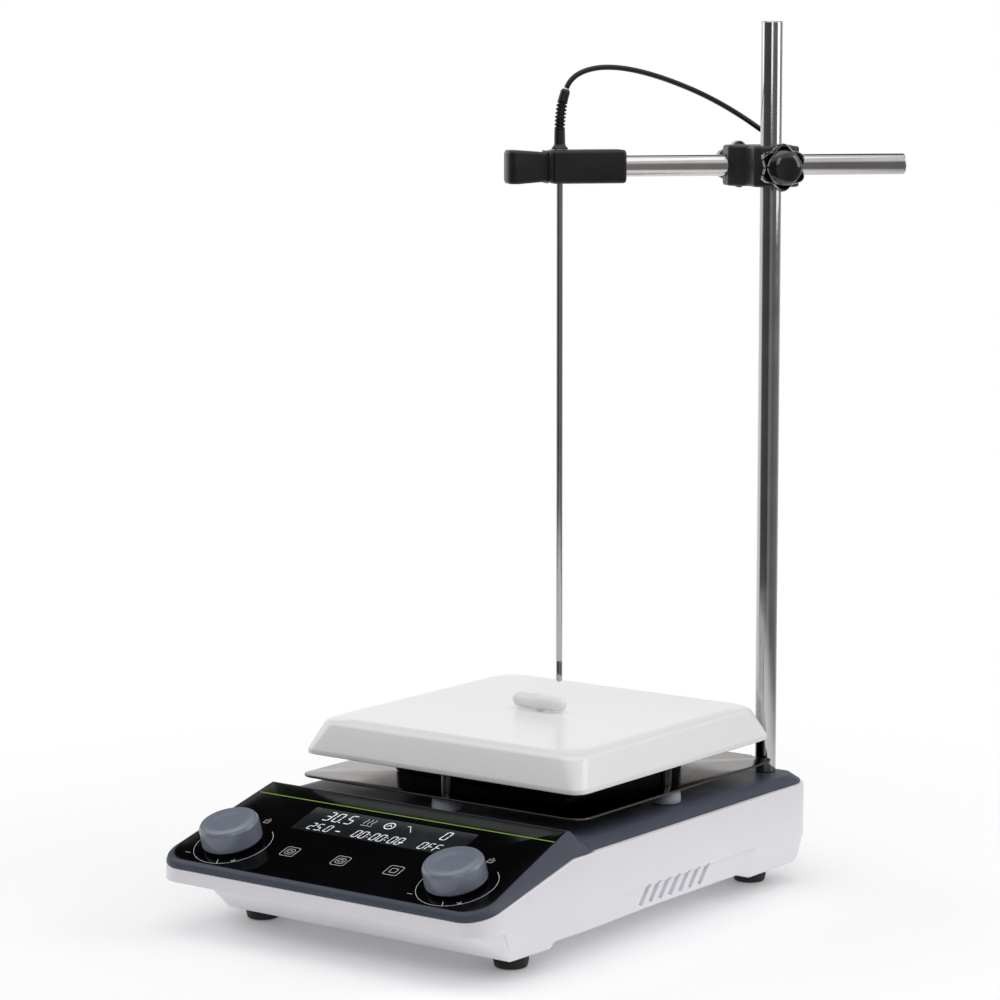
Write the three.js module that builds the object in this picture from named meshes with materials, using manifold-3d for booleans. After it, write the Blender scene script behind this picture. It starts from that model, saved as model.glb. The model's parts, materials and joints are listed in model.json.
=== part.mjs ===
// Hot-plate magnetic stirrer with a support stand, boss head, probe holder and temperature probe.
// Millimetres, +Z up. Everything is laid out around the stirring axis (x = y = 0) with the bench at z = 0,
// and the finished group is then moved so that the centre of its footprint is the origin.
import * as THREE from 'three';
import { mergeVertices } from 'three/addons/utils/BufferGeometryUtils.js';
import Module from 'manifold-3d';

const wasm = await Module();
wasm.setup();

// ---------- driving dimensions ----------
const GAP = 0.3; // left between pieces that touch
const WALL = 2.5; // housing wall

// housing outline in plan
const HALF_WIDTH = 95.2;
const REAR_Y = 93;
const FRONT_Y = -168.5;
const TAPER_START_Y = -104;
const FRONT_TAPER = 2.8; // lost from each half width between TAPER_START_Y and FRONT_Y
const FRONT_CORNER = 13;
const REAR_CORNER = 14;

// heights of the housing
const FOOT_ZONE_Z = 10; // lowest edge of the skirt over the feet
const SKIRT_Z = 12.9; // lower edge between the feet
const FLOOR_Z = 13.2;
const CREASE_Z = 25; // the sides lean inward below this
const LEAN = 3.6; // how far they lean in
const SEAM_Z = 48.2; // joint between the lower housing and the cover
const DECK_Z = 51.3;
const DECK_HALF = 84.5;

// sloped control panel: local x across, local -y down the slope, local z out of the panel
const CREST_Y = -95.1;
const CREST_Z = 57.3;
const PANEL_TILT = THREE.MathUtils.degToRad(17.4);
const PANEL_LENGTH = 74.5;
const PANEL_HALF_TOP = 83.9;
const PANEL_HALF_FRONT = 90.1;
const PANEL_CORNER = 12;
const PANEL_THICK = 1.5;
const RECESS = 1.8;
const KNOB_X = 63.6;
const KNOB_Y = -54.6;
const KNOB_R = 14;
const SHAFT_R = 3;

// hot plate stack
const PLATE_SIDE = 159;
const PLATE_Z = 69.1;
const PLATE_TOP_Z = 85.9;
const SHIELD_SIDE = 162.5;
const SHIELD_Z = 58.1;
const POST_RADIUS = 72; // distance of each post from the stirring axis
const HEATER_SIDE = 99;

// stand
const ROD_X = 72.2;
const ROD_Y = 85;
const ROD_R = 5;
const ROD_TOP_Z = 408.3;
const ROD_FOOT_Z = 27;
const STUD_END_R = 3.7; // threaded end of the rod, below the deck
const ARM_Z = 341;
const ARM_BACK = 12; // distance of the arm's axis behind the rod's axis
const ARM_TURN = THREE.MathUtils.degToRad(47.2); // direction of the arm in plan, from +X
const ARM_END = 68.5;
const PROBE_X = -98.7; // along the arm, from the rod
const HOLDER_LEFT = -124.6;
const HOLDER_RIGHT = -68.1;
const PROBE_TIP_Z = 96;
const RELIEF_TOP_Z = 377;

// probe lead
const LEAD_R = 1.25;
const COIL_R = 15;
const COIL_X = -10;
const COIL_Y = 118;

// ---------- materials ----------
const finish = (color, roughness, metalness = 0) =>
  new THREE.MeshStandardMaterial({ color, roughness, metalness });
const FINISHES = {
  whiteShell: () => finish(0xe9e6ee, 0.42),
  slate: () => finish(0x4a4d59, 0.5),
  blackGloss: () => finish(0x08080a, 0.12),
  display: () => finish(0x2b2d30, 0.2),
  knob: () => finish(0x6f7688, 0.38),
  enamel: () => finish(0xf2f2f3, 0.3),
  stainless: () => finish(0xb9b7b4, 0.22, 1),
  postGrey: () => finish(0xa9adb4, 0.45),
  blackMatte: () => finish(0x17171a, 0.6),
  rubber: () => finish(0x0f0f11, 0.8),
  board: () => finish(0x1d5a36, 0.55),
  brass: () => finish(0xb08d4a, 0.35, 1),
  magnet: () => finish(0x8d8f94, 0.3, 1),
  ptfe: () => finish(0xf7f7f5, 0.45),
  insulation: () => finish(0xd8d2c4, 0.9),
};

// ---------- solids ----------
function solid(geometry) {
  const bare = geometry.index ? geometry.toNonIndexed() : geometry.clone();
  bare.deleteAttribute('normal');
  bare.deleteAttribute('uv');
  const merged = mergeVertices(bare, 1e-4);
  return new wasm.Manifold(
    new wasm.Mesh({
      numProp: 3,
      vertProperties: new Float32Array(merged.attributes.position.array),
      triVerts: new Uint32Array(merged.index.array),
    }),
  );
}

function toGeometry(manifold) {
  const mesh = manifold.getMesh();
  const geometry = new THREE.BufferGeometry();
  geometry.setAttribute('position', new THREE.BufferAttribute(mesh.vertProperties, 3));
  geometry.setIndex(new THREE.BufferAttribute(mesh.triVerts, 1));
  geometry.computeVertexNormals();
  return geometry;
}

function cut(base, ...tools) {
  return toGeometry(tools.reduce((body, tool) => body.subtract(solid(tool)), solid(base)));
}

function join(base, ...others) {
  return toGeometry(others.reduce((body, other) => body.add(solid(other)), solid(base)));
}

// ---------- basic shapes; each stands on z = 0 unless it is moved ----------
const moved = (geometry, x, y, z) => geometry.translate(x, y, z);

function box(width, depth, height) {
  return new THREE.BoxGeometry(width, depth, height).translate(0, 0, height / 2);
}

function cylinder(radius, height, sides = 32) {
  return new THREE.CylinderGeometry(radius, radius, height, sides)
    .rotateX(Math.PI / 2)
    .translate(0, 0, height / 2);
}

// a cylinder that lies along X or Y, starting at the origin
const alongX = (radius, length, sides) => cylinder(radius, length, sides).rotateY(Math.PI / 2);
const alongY = (radius, length, sides) => cylinder(radius, length, sides).rotateX(-Math.PI / 2);

// turned part: profile points are [radius, height]
function turned(profile, sides = 40) {
  const points = profile.map(([radius, height]) => new THREE.Vector2(radius, height));
  return new THREE.LatheGeometry(points, sides).rotateX(Math.PI / 2);
}

function roundedOutline(width, depth, radius) {
  const x = width / 2;
  const y = depth / 2;
  const shape = new THREE.Shape();
  shape.moveTo(x, y - radius);
  shape.absarc(x - radius, y - radius, radius, 0, Math.PI / 2);
  shape.absarc(-x + radius, y - radius, radius, Math.PI / 2, Math.PI);
  shape.absarc(-x + radius, -y + radius, radius, Math.PI, 1.5 * Math.PI);
  shape.absarc(x - radius, -y + radius, radius, 1.5 * Math.PI, 2 * Math.PI);
  return shape;
}

function extrude(shape, depth, curveSegments = 4) {
  return new THREE.ExtrudeGeometry(shape, { depth, bevelEnabled: false, curveSegments });
}

const roundedPlate = (width, depth, radius, height) =>
  extrude(roundedOutline(width, depth, radius), height);

// skin through a row of closed sections with equal numbers of points, closed by flat ends
function loft(sections) {
  const size = sections[0].length;
  const positions = sections.flat(2);
  const index = [];
  for (let s = 0; s + 1 < sections.length; s++) {
    for (let i = 0; i < size; i++) {
      const a = s * size + i;
      const b = s * size + ((i + 1) % size);
      index.push(a, b, a + size, b, b + size, a + size);
    }
  }
  const last = (sections.length - 1) * size;
  for (let i = 1; i + 1 < size; i++) {
    index.push(0, i + 1, i, last, last + i, last + i + 1);
  }
  const geometry = new THREE.BufferGeometry();
  geometry.setAttribute('position', new THREE.Float32BufferAttribute(positions, 3));
  geometry.setIndex(signedVolume(positions, index) < 0 ? index.reverse() : index);
  return geometry;
}

function signedVolume(positions, index) {
  const point = (i) => new THREE.Vector3().fromArray(positions, 3 * i);
  let volume = 0;
  for (let t = 0; t < index.length; t += 3) {
    volume += point(index[t]).dot(point(index[t + 1]).cross(point(index[t + 2])));
  }
  return volume;
}

// straight-line interpolation through [position, value] pairs
function along(table, position) {
  const last = table.length - 1;
  if (position <= table[0][0]) return table[0][1];
  for (let i = 0; i < last; i++) {
    const [p0, v0] = table[i];
    const [p1, v1] = table[i + 1];
    if (position <= p1) return v0 + ((v1 - v0) * (position - p0)) / (p1 - p0);
  }
  return table[last][1];
}

// ---------- scene graph ----------
const object = new THREE.Group();
const panelGroup = new THREE.Group();
panelGroup.position.set(0, CREST_Y, CREST_Z);
panelGroup.rotation.x = PANEL_TILT;
const standGroup = new THREE.Group();
standGroup.position.set(ROD_X, ROD_Y, 0);
standGroup.rotation.z = ARM_TURN;
object.add(panelGroup, standGroup);

function add(name, geometry, kind, parent = object) {
  const mesh = new THREE.Mesh(geometry, FINISHES[kind]());
  mesh.name = name;
  parent.add(mesh);
  return mesh;
}

// ---------- housing ----------
// half width of the housing at y, for an outline moved inward by inset
function halfWidth(y, inset, half = HALF_WIDTH, taper = FRONT_TAPER) {
  const lost = (taper * Math.max(0, TAPER_START_Y - y)) / (TAPER_START_Y - FRONT_Y);
  let width = half - inset - lost;
  const frontRadius = FRONT_CORNER - inset;
  const intoFront = FRONT_Y + FRONT_CORNER - y;
  if (intoFront > 0) {
    width -= frontRadius - Math.sqrt(Math.max(0, frontRadius ** 2 - intoFront ** 2));
  }
  const rearRadius = REAR_CORNER - inset;
  const intoRear = y - (REAR_Y - REAR_CORNER);
  if (intoRear > 0) {
    width -= rearRadius - Math.sqrt(Math.max(0, rearRadius ** 2 - intoRear ** 2));
  }
  return width;
}

// y of the sections: close together round the corners, and at every break of the tables
function stations(inset, ...tables) {
  const list = [];
  const steps = 5;
  for (let i = 0; i <= steps; i++) {
    const angle = (Math.PI / 2) * (i / steps);
    list.push(FRONT_Y + FRONT_CORNER - (FRONT_CORNER - inset) * Math.cos(angle));
    list.push(REAR_Y - REAR_CORNER + (REAR_CORNER - inset) * Math.cos(angle));
  }
  list.push(TAPER_START_Y, ...tables.flat().map(([y]) => y));
  const inside = list.filter((y) => y >= FRONT_Y + inset && y <= REAR_Y - inset);
  return [...new Set(inside.map((y) => Number(y.toFixed(3))))].sort((a, b) => a - b);
}

const SEAM = [
  [FRONT_Y, 31],
  [TAPER_START_Y, SEAM_Z],
];
const UNDERSIDE = [
  [-117, FOOT_ZONE_Z],
  [-114.3, SKIRT_Z],
  [33.5, SKIRT_Z],
  [42, FOOT_ZONE_Z],
  [80, FOOT_ZONE_Z],
  [86.5, 12.5],
  [90.5, 17],
  [REAR_Y, 24],
];

function lowerSection(y, inset, bottom, top) {
  const crease = Math.max(CREASE_Z, bottom + 0.5);
  const lean = bottom < CREASE_Z ? (LEAN * (CREASE_Z - bottom)) / (CREASE_Z - FOOT_ZONE_Z) : 0;
  const wide = halfWidth(y, inset);
  const narrow = wide - lean;
  return [
    [-wide, y, top],
    [-wide, y, crease],
    [-narrow, y, bottom],
    [narrow, y, bottom],
    [wide, y, crease],
    [wide, y, top],
  ];
}

const outerBody = loft(
  stations(0, SEAM, UNDERSIDE).map((y) => lowerSection(y, 0, along(UNDERSIDE, y), along(SEAM, y))),
);
const CAVITY_FLOOR = [
  [FRONT_Y, 32],
  [-166.5, 30],
  [-140, FLOOR_Z + WALL],
];
const bodyCavity = loft(
  stations(WALL, SEAM, CAVITY_FLOOR).map((y) =>
    lowerSection(y, WALL, along(CAVITY_FLOOR, y), along(SEAM, y) + 4),
  ),
);

// the skirt is undercut at the front: toward the bench its front edge steps back and its corners tighten
const UNDERCUT = {
  top: { z: 24.8, y: -166, radius: FRONT_CORNER, side: 92.6 },
  foot: { z: FOOT_ZONE_Z - 1, y: -142, radius: 0.8, side: 89.8 },
};
const FAR = 400;
function undercutRing({ z, y, radius, side }) {
  const ring = [[0, -FAR, z], [FAR, -FAR, z], [FAR, y + radius, z]];
  const steps = 5;
  for (const sign of [1, -1]) {
    for (let i = 0; i <= steps; i++) {
      const angle = (Math.PI / 2) * (sign > 0 ? i / steps : 1 - i / steps);
      const x = sign * (side - radius + radius * Math.cos(angle));
      ring.push([x, y + radius - radius * Math.sin(angle), z]);
    }
  }
  ring.push([-FAR, y + radius, z], [-FAR, -FAR, z]);
  return ring;
}
const frontUndercut = loft([undercutRing(UNDERCUT.foot), undercutRing(UNDERCUT.top)]);

// and cut away on the slant under its left front corner, up to the same height
const SLANT_TOP = [-62.3, -164];
const SLANT_FOOT = [-69.5, -143.6];
const SLANT_ALONG = [-0.643, 0.766];
const SLANT_OUT = [-0.766, -0.643];
const SLANT_REACH = 60;
function slantRing(share, wall) {
  const z = FOOT_ZONE_Z + share * (UNDERCUT.top.z - FOOT_ZONE_Z) + wall;
  const at = (run, out) => {
    const [x, y] = [0, 1].map((k) =>
      THREE.MathUtils.lerp(SLANT_FOOT[k], SLANT_TOP[k], share) +
      run * SLANT_ALONG[k] + (out - wall) * SLANT_OUT[k]);
    return [x, y, z];
  };
  const reach = SLANT_REACH;
  return [at(-reach, 0), at(reach, 0), at(reach, reach), at(-reach, reach)];
}
// wall thickens the cut, for the hollows that stay clear of it
const slantCut = (wall) => loft([slantRing(-1, wall), slantRing(1, wall)]);
const footRecess = cut(moved(roundedPlate(170, 225, 8, FLOOR_Z), 0, -27.5, 0), slantCut(WALL));

const VENTS = 7;
const VENT_PITCH = 8;
const VENT_START_Y = -46;
const VENT_DEPTH = 1.7; // louvres: grooves that stop short of the inside
const VENT_WIDTH = 3.6;
const VENT_HEIGHT = 10;
const VENT_SLANT = -0.35;
const VENT_REACH = 6; // how far each cutter stands out of the side
const SIDE_LEAN = Math.atan2(LEAN, CREASE_Z - FOOT_ZONE_Z);
function vent(side, i) {
  const middle = (side * (VENT_REACH - VENT_DEPTH)) / 2;
  const slot = moved(box(VENT_REACH + VENT_DEPTH, VENT_WIDTH, VENT_HEIGHT + 0.6), middle, 0, -VENT_HEIGHT);
  slot.rotateX(VENT_SLANT).rotateY(side * SIDE_LEAN);
  return moved(slot, side * HALF_WIDTH, VENT_START_Y + VENT_PITCH * i, CREASE_Z);
}
const vents = [-1, 1].flatMap((side) => Array.from({ length: VENTS }, (_, i) => vent(side, i)));
// openings in the rear wall for the inlet, the switch and the probe socket
const INLET_X = -48;
const SWITCH_X = -12;
const SOCKET_X = 24;
const REAR_PART_Z = 35;
const rearOpenings = [
  moved(box(29, 14, 21), INLET_X, REAR_Y, REAR_PART_Z - 10.5),
  moved(box(14, 14, 20), SWITCH_X, REAR_Y, REAR_PART_Z - 10),
  moved(alongY(6.3, 14, 24), SOCKET_X, REAR_Y - 8, REAR_PART_Z),
];
const hollows = [cut(bodyCavity, slantCut(WALL)), footRecess, frontUndercut, slantCut(0)];
add('base_body', cut(outerBody, ...hollows, ...vents, ...rearOpenings), 'whiteShell');

const COVER_TOP = [
  [FRONT_Y, 32.6],
  [-167.9, 34],
  [-166.6, 35.1],
  [CREST_Y, CREST_Z],
  [-94.2, CREST_Z],
  [-86, DECK_Z],
  [REAR_Y - 0.6, DECK_Z],
  [REAR_Y, DECK_Z - 0.8],
];
const COVER_HALF = [
  [FRONT_Y, PANEL_HALF_FRONT + 1],
  [CREST_Y, PANEL_HALF_TOP + 1],
  [-86, DECK_HALF],
  [60, DECK_HALF],
  [REAR_Y, DECK_HALF + 3],
];

// the cover's section is a trapezoid: wide along the seam, narrow along the top edge
function coverSection(y, inset, drop) {
  const seam = along(SEAM, y) + GAP - (inset ? 4 : 0);
  const top = along(COVER_TOP, y) - drop;
  const wide = halfWidth(y, inset);
  const corner = HALF_WIDTH - halfWidth(y, 0, HALF_WIDTH, 0);
  const narrow = Math.min(wide - 0.4, along(COVER_HALF, y) - inset - 0.8 * corner);
  return [
    [-wide, y, seam],
    [-narrow, y, Math.max(top, seam + 0.5)],
    [narrow, y, Math.max(top, seam + 0.5)],
    [wide, y, seam],
  ];
}

const coverOuter = loft(stations(0, SEAM, COVER_TOP, COVER_HALF).map((y) => coverSection(y, 0, 0)));
const coverCavity = loft(
  stations(WALL, SEAM, COVER_TOP, COVER_HALF).map((y) => coverSection(y, WALL, y < -86 ? 3.6 : WALL)),
);

// outline of the panel in its own frame, moved inward by inset
function panelOutline(inset) {
  const radius = PANEL_CORNER;
  const top = PANEL_HALF_TOP - inset;
  const front = PANEL_HALF_FRONT - inset;
  const shape = new THREE.Shape();
  shape.moveTo(top, -inset);
  shape.lineTo(-top, -inset);
  shape.absarc(-front + radius, -PANEL_LENGTH + inset + radius, radius, Math.PI, 1.5 * Math.PI);
  shape.absarc(front - radius, -PANEL_LENGTH + inset + radius, radius, 1.5 * Math.PI, 2 * Math.PI);
  return shape;
}

function onPanel(geometry) {
  return geometry.rotateX(PANEL_TILT).translate(0, CREST_Y, CREST_Z);
}

const DISPLAY = { width: 93, depth: 20.4, y: -24.2 };
const bushHole = (x, radius) => moved(cylinder(radius, 14, 24), x, KNOB_Y, -8);
const coverTools = [
  coverCavity,
  onPanel(moved(extrude(panelOutline(0), 8), 0, 0, -RECESS)),
  onPanel(moved(box(DISPLAY.width + 3, DISPLAY.depth + 3, 14), 0, DISPLAY.y, -8)),
  onPanel(bushHole(-KNOB_X, 4.8)),
  onPanel(bushHole(KNOB_X, 4.8)),
  moved(cylinder(STUD_END_R + GAP, 20, 32), ROD_X, ROD_Y, 40),
  moved(cylinder(12, 20, 32), 0, 0, 40),
];
add('top_cover', cut(coverOuter, ...coverTools), 'slate');

// ---------- control panel ----------
const panelPlate = moved(extrude(panelOutline(GAP), PANEL_THICK), 0, 0, -PANEL_THICK);
add(
  'front_panel',
  cut(
    panelPlate,
    moved(box(DISPLAY.width, DISPLAY.depth, 4), 0, DISPLAY.y, -3),
    bushHole(-KNOB_X, 4.8),
    bushHole(KNOB_X, 4.8),
  ),
  'blackGloss',
  panelGroup,
);
const lensSlack = 2 * GAP;
const lens = roundedPlate(DISPLAY.width - lensSlack, DISPLAY.depth - lensSlack, 0.8, PANEL_THICK);
add('display_window', moved(lens, 0, DISPLAY.y, -PANEL_THICK), 'display', panelGroup);
const moduleBox = box(DISPLAY.width + 2, DISPLAY.depth + 2, 4.2);
add('display_module', moved(moduleBox, 0, DISPLAY.y, -6.2), 'board', panelGroup);

const BUSH_TOP = 0.3;
const ENCODER_FLOOR = -10.5;
const knobProfile = [
  [0, 10.2],
  [SHAFT_R + GAP, 10.2],
  [SHAFT_R + GAP, 1.5],
  [KNOB_R - 0.7, 1.5],
  [KNOB_R, 2.4],
  [KNOB_R - 0.2, 10.5],
  [KNOB_R - 1.2, 11.8],
  [KNOB_R - 2.8, 11.6],
  [8, 11],
  [0, 10.7],
];
function encoder() {
  const housing = moved(box(12.4, 12.4, 6), 0, 0, ENCODER_FLOOR);
  const bush = moved(cylinder(4.4, BUSH_TOP + 5, 24), 0, 0, -5);
  const bore = moved(cylinder(SHAFT_R + GAP, 12, 24), 0, 0, ENCODER_FLOOR + 1.2);
  return toGeometry(solid(housing).add(solid(bush)).subtract(solid(bore)));
}
for (const [side, sign] of [['left', -1], ['right', 1]]) {
  const place = (geometry) => moved(geometry, sign * KNOB_X, KNOB_Y, 0);
  add(`${side}_encoder`, place(encoder()), 'board', panelGroup);
  const shaft = moved(cylinder(SHAFT_R, 18, 24), 0, 0, -8.1);
  add(`${side}_knob_shaft`, place(shaft), 'brass', panelGroup);
  add(`${side}_knob`, place(turned(knobProfile, 36)), 'knob', panelGroup);
}
const panelBoard = moved(box(138, 54, 1.6), 0, -34, ENCODER_FLOOR - GAP - 1.6);
add('panel_board', panelBoard, 'board', panelGroup);

// ---------- feet ----------
const FOOT_X = 71;
const FOOT_FRONT_Y = -118.6;
const FOOT_REAR_Y = 73.5;
const footProfile = [
  [0, 0],
  [7.2, 0],
  [8, 0.8],
  [8.6, 6],
  [8.6, FLOOR_Z - GAP],
  [0, FLOOR_Z - GAP],
];
for (const [row, y] of [['front', FOOT_FRONT_Y], ['rear', FOOT_REAR_Y]]) {
  for (const [side, sign] of [['left', -1], ['right', 1]]) {
    add(`${row}_${side}_foot`, moved(turned(footProfile, 20), sign * FOOT_X, y, 0), 'rubber');
  }
}

// ---------- hot plate stack ----------
const posts = [
  ['front_post', 0, -1],
  ['right_post', 1, 0],
  ['rear_post', 0, 1],
  ['left_post', -1, 0],
];
const STUD_R = 2.5;
const BACKING_Z = 67.9;
const postProfile = [
  [0, DECK_Z + GAP],
  [7, DECK_Z + GAP],
  [7, SHIELD_Z - GAP],
  [STUD_R, SHIELD_Z - GAP],
  [STUD_R, BACKING_Z - GAP],
  [0, BACKING_Z - GAP],
];
for (const [name, dx, dy] of posts) {
  add(name, moved(turned(postProfile, 24), POST_RADIUS * dx, POST_RADIUS * dy, 0), 'postGrey');
}
const shieldBlank = moved(roundedPlate(SHIELD_SIDE, SHIELD_SIDE, 8, 1), 0, 0, SHIELD_Z);
const shieldHoles = posts.map(([, dx, dy]) =>
  moved(cylinder(STUD_R + GAP, 4, 16), POST_RADIUS * dx, POST_RADIUS * dy, SHIELD_Z - 1.5),
);
const shieldMouth = moved(cylinder(42, 4, 36), 0, 0, SHIELD_Z - 1.5);
// notch that lets the stand rod pass behind the right rear corner
const rodNotch = moved(cylinder(ROD_R + 1.5, 40, 24), ROD_X, ROD_Y, 50);
add('shield_plate', cut(shieldBlank, shieldMouth, rodNotch, ...shieldHoles), 'stainless');

const heaterBottom = SHIELD_Z + 1 + GAP;
const heaterShell = moved(
  roundedPlate(HEATER_SIDE, HEATER_SIDE, 4, BACKING_Z - GAP - heaterBottom),
  0,
  0,
  heaterBottom,
);
add('heater_housing', cut(heaterShell, moved(cylinder(42, 30, 36), 0, 0, 50)), 'blackMatte');
const backing = moved(roundedPlate(149, 149, 6, PLATE_Z - GAP - BACKING_Z), 0, 0, BACKING_Z);
add('backing_plate', backing, 'stainless');

// square outline with round corners as one ring of points at height z
function squareRing(half, radius, z) {
  const ring = [];
  const steps = 4;
  for (const [sx, sy, start] of [[1, 1, 0], [-1, 1, 90], [-1, -1, 180], [1, -1, 270]]) {
    for (let i = 0; i <= steps; i++) {
      const angle = THREE.MathUtils.degToRad(start + (90 * i) / steps);
      const x = sx * (half - radius) + radius * Math.cos(angle);
      const y = sy * (half - radius) + radius * Math.sin(angle);
      ring.push([x, y, z]);
    }
  }
  return ring;
}
const PLATE_HALF = PLATE_SIDE / 2;
const plateBlank = loft([
  squareRing(PLATE_HALF - 0.6, 6, PLATE_Z),
  squareRing(PLATE_HALF, 6.5, PLATE_Z + 0.8),
  squareRing(PLATE_HALF - 0.3, 6.5, PLATE_Z + 3),
  squareRing(PLATE_HALF - 5.2, 8, PLATE_TOP_Z - 2.6),
  squareRing(PLATE_HALF - 6.4, 8, PLATE_TOP_Z - 0.8),
  squareRing(PLATE_HALF - 8, 8, PLATE_TOP_Z),
]);
const ELEMENT_SIDE = 118;
const elementPocket = moved(box(ELEMENT_SIDE + 1, ELEMENT_SIDE + 1, 10), 0, 0, PLATE_Z - 1);
add('top_plate', cut(plateBlank, elementPocket), 'enamel');
const insulation = moved(roundedPlate(ELEMENT_SIDE, ELEMENT_SIDE, 3, 3), 0, 0, PLATE_Z + 0.2);
add('insulation_pad', insulation, 'insulation');
const elementPlate = moved(roundedPlate(ELEMENT_SIDE - 6, ELEMENT_SIDE - 6, 3, 2.4), 0, 0, PLATE_Z + 3.5);
add('heating_element', elementPlate, 'magnet');
add('plate_sensor', moved(alongX(0.8, 30, 12), -15, 0, PLATE_Z + 7.1), 'stainless');

// ---------- stirring drive ----------
add(
  'motor',
  cut(moved(cylinder(22, 25.4, 32), 0, 0, 21), moved(cylinder(3.2, 40, 24), 0, 0, 24)),
  'blackMatte',
);
const bracket = moved(roundedPlate(70, 50, 6, 1.6), 0, 0, 46.8);
add('motor_bracket', cut(bracket, moved(cylinder(4, 6, 24), 0, 0, 45)), 'stainless');
const CARRIER_Z = 60.4;
const carrier = moved(cylinder(34, 2.2, 36), 0, 0, CARRIER_Z);
add('drive_shaft', moved(cylinder(2.9, 66.4 - 24.5, 24), 0, 0, 24.5), 'stainless');
add('magnet_carrier', cut(carrier, moved(cylinder(3.2, 6, 24), 0, 0, CARRIER_Z - 2)), 'blackMatte');
for (const [name, sign] of [['drive_magnet_a', -1], ['drive_magnet_b', 1]]) {
  add(name, moved(cylinder(9, 4, 32), sign * 22, 0, CARRIER_Z + 2.2 + GAP), 'magnet');
}
// stirring bar: a rod with round ends and a raised ring round its middle
const BAR_R = 4;
const barProfile = [[0, -15]];
for (let i = 1; i <= 4; i++) {
  const angle = (Math.PI / 8) * i;
  barProfile.push([3.5 * Math.sin(angle), -11.5 - 3.5 * Math.cos(angle)]);
}
barProfile.push([3.5, -1.8], [BAR_R, -1.2]);
const barHalf = barProfile.map(([radius, x]) => [radius, -x]).reverse();
const bar = turned([...barProfile, ...barHalf], 16).rotateY(Math.PI / 2);
add('stirring_bar', moved(bar, 0, 0, PLATE_TOP_Z + GAP + BAR_R), 'ptfe');

// ---------- electronics ----------
add('main_board', moved(box(58, 110, 1.6), -58, 10, 20), 'board');

// ---------- rear connections ----------
const inletBody = moved(box(28, 17, 20), 0, 4.5, -10);
const inletFlange = moved(roundedPlate(36, 25, 3, 2).rotateX(Math.PI / 2), 0, 14, 0);
const inletSocket = moved(box(23, 20, 15), 0, 10, -7.5);
const inletPins = [
  [-7, -1.5],
  [0, 2.5],
  [7, -1.5],
].map(([x, z]) => moved(box(2, 14, 4), x, 0, z - 2));
const inlet = toGeometry(
  inletPins.reduce(
    (body, pin) => body.add(solid(pin)),
    solid(inletBody).add(solid(inletFlange)).subtract(solid(inletSocket)),
  ),
);
add('mains_inlet', moved(inlet, INLET_X, REAR_Y - 11.6, REAR_PART_Z), 'blackMatte');

const switchBody = moved(box(13, 17, 19), 0, 4.5, -9.5);
const switchFlange = moved(roundedPlate(16.5, 23, 2, 1.4).rotateX(Math.PI / 2), 0, 13.6, 0);
const switchPocket = moved(box(10.4, 20, 15.6), 0, 9, -7.8);
const switchFrame = toGeometry(
  solid(switchBody).add(solid(switchFlange)).subtract(solid(switchPocket)),
);
const SWITCH_Y = REAR_Y - 11.6;
add('switch_frame', moved(switchFrame, SWITCH_X, SWITCH_Y, REAR_PART_Z), 'blackMatte');
// rocker: two faces that meet at a hollow angle over its pivot, lying in the plane of Y and Z
const ROCKER_PIVOT_Y = 8;
const ROCKER_TILT = THREE.MathUtils.degToRad(8);
const rockerOutline = new THREE.Shape();
rockerOutline.moveTo(13.7, 6);
rockerOutline.lineTo(12.9, 0);
rockerOutline.lineTo(13.7, -6);
rockerOutline.lineTo(6, -4.6);
rockerOutline.lineTo(6, 4.6);
const rocker = moved(extrude(rockerOutline, 9.8), -ROCKER_PIVOT_Y, 0, -4.9)
  .rotateZ(Math.PI / 2)
  .rotateY(Math.PI / 2)
  .rotateX(-ROCKER_TILT);
add('rocker', moved(rocker, SWITCH_X, SWITCH_Y + ROCKER_PIVOT_Y, REAR_PART_Z), 'blackMatte');

const socketProfile = [
  [0, 0],
  [6, 0],
  [6, 10.8],
  [8.2, 10.8],
  [8.2, 13],
  [4.3, 13],
  [4.3, 3],
  [0, 3],
];
const socket = turned(socketProfile, 24).rotateX(-Math.PI / 2);
add('probe_socket', moved(socket, SOCKET_X, REAR_Y - 10.5, REAR_PART_Z), 'stainless');

// ---------- stand ----------
const rodCollar = moved(cylinder(5.2, 22.2, 32), 0, 0, 26);
const collarBore = moved(cylinder(STUD_END_R + GAP, 40, 32), 0, 0, ROD_FOOT_Z - 0.5);
add('rod_socket', cut(rodCollar, collarBore), 'stainless', standGroup);
const rodProfile = (from, to) => [
  [0, from],
  [ROD_R - 0.6, from],
  [ROD_R, from + 0.6],
  [ROD_R, to - 0.6],
  [ROD_R - 0.6, to],
  [0, to],
];
const SHOULDER_Z = DECK_Z + GAP;
const threadedEnd = [
  [0, ROD_FOOT_Z],
  [STUD_END_R, ROD_FOOT_Z],
  [STUD_END_R, SHOULDER_Z],
];
const standRod = [...threadedEnd, ...rodProfile(SHOULDER_Z, ROD_TOP_Z).slice(1)];
add('stand_rod', turned(standRod, 28), 'stainless', standGroup);

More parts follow.
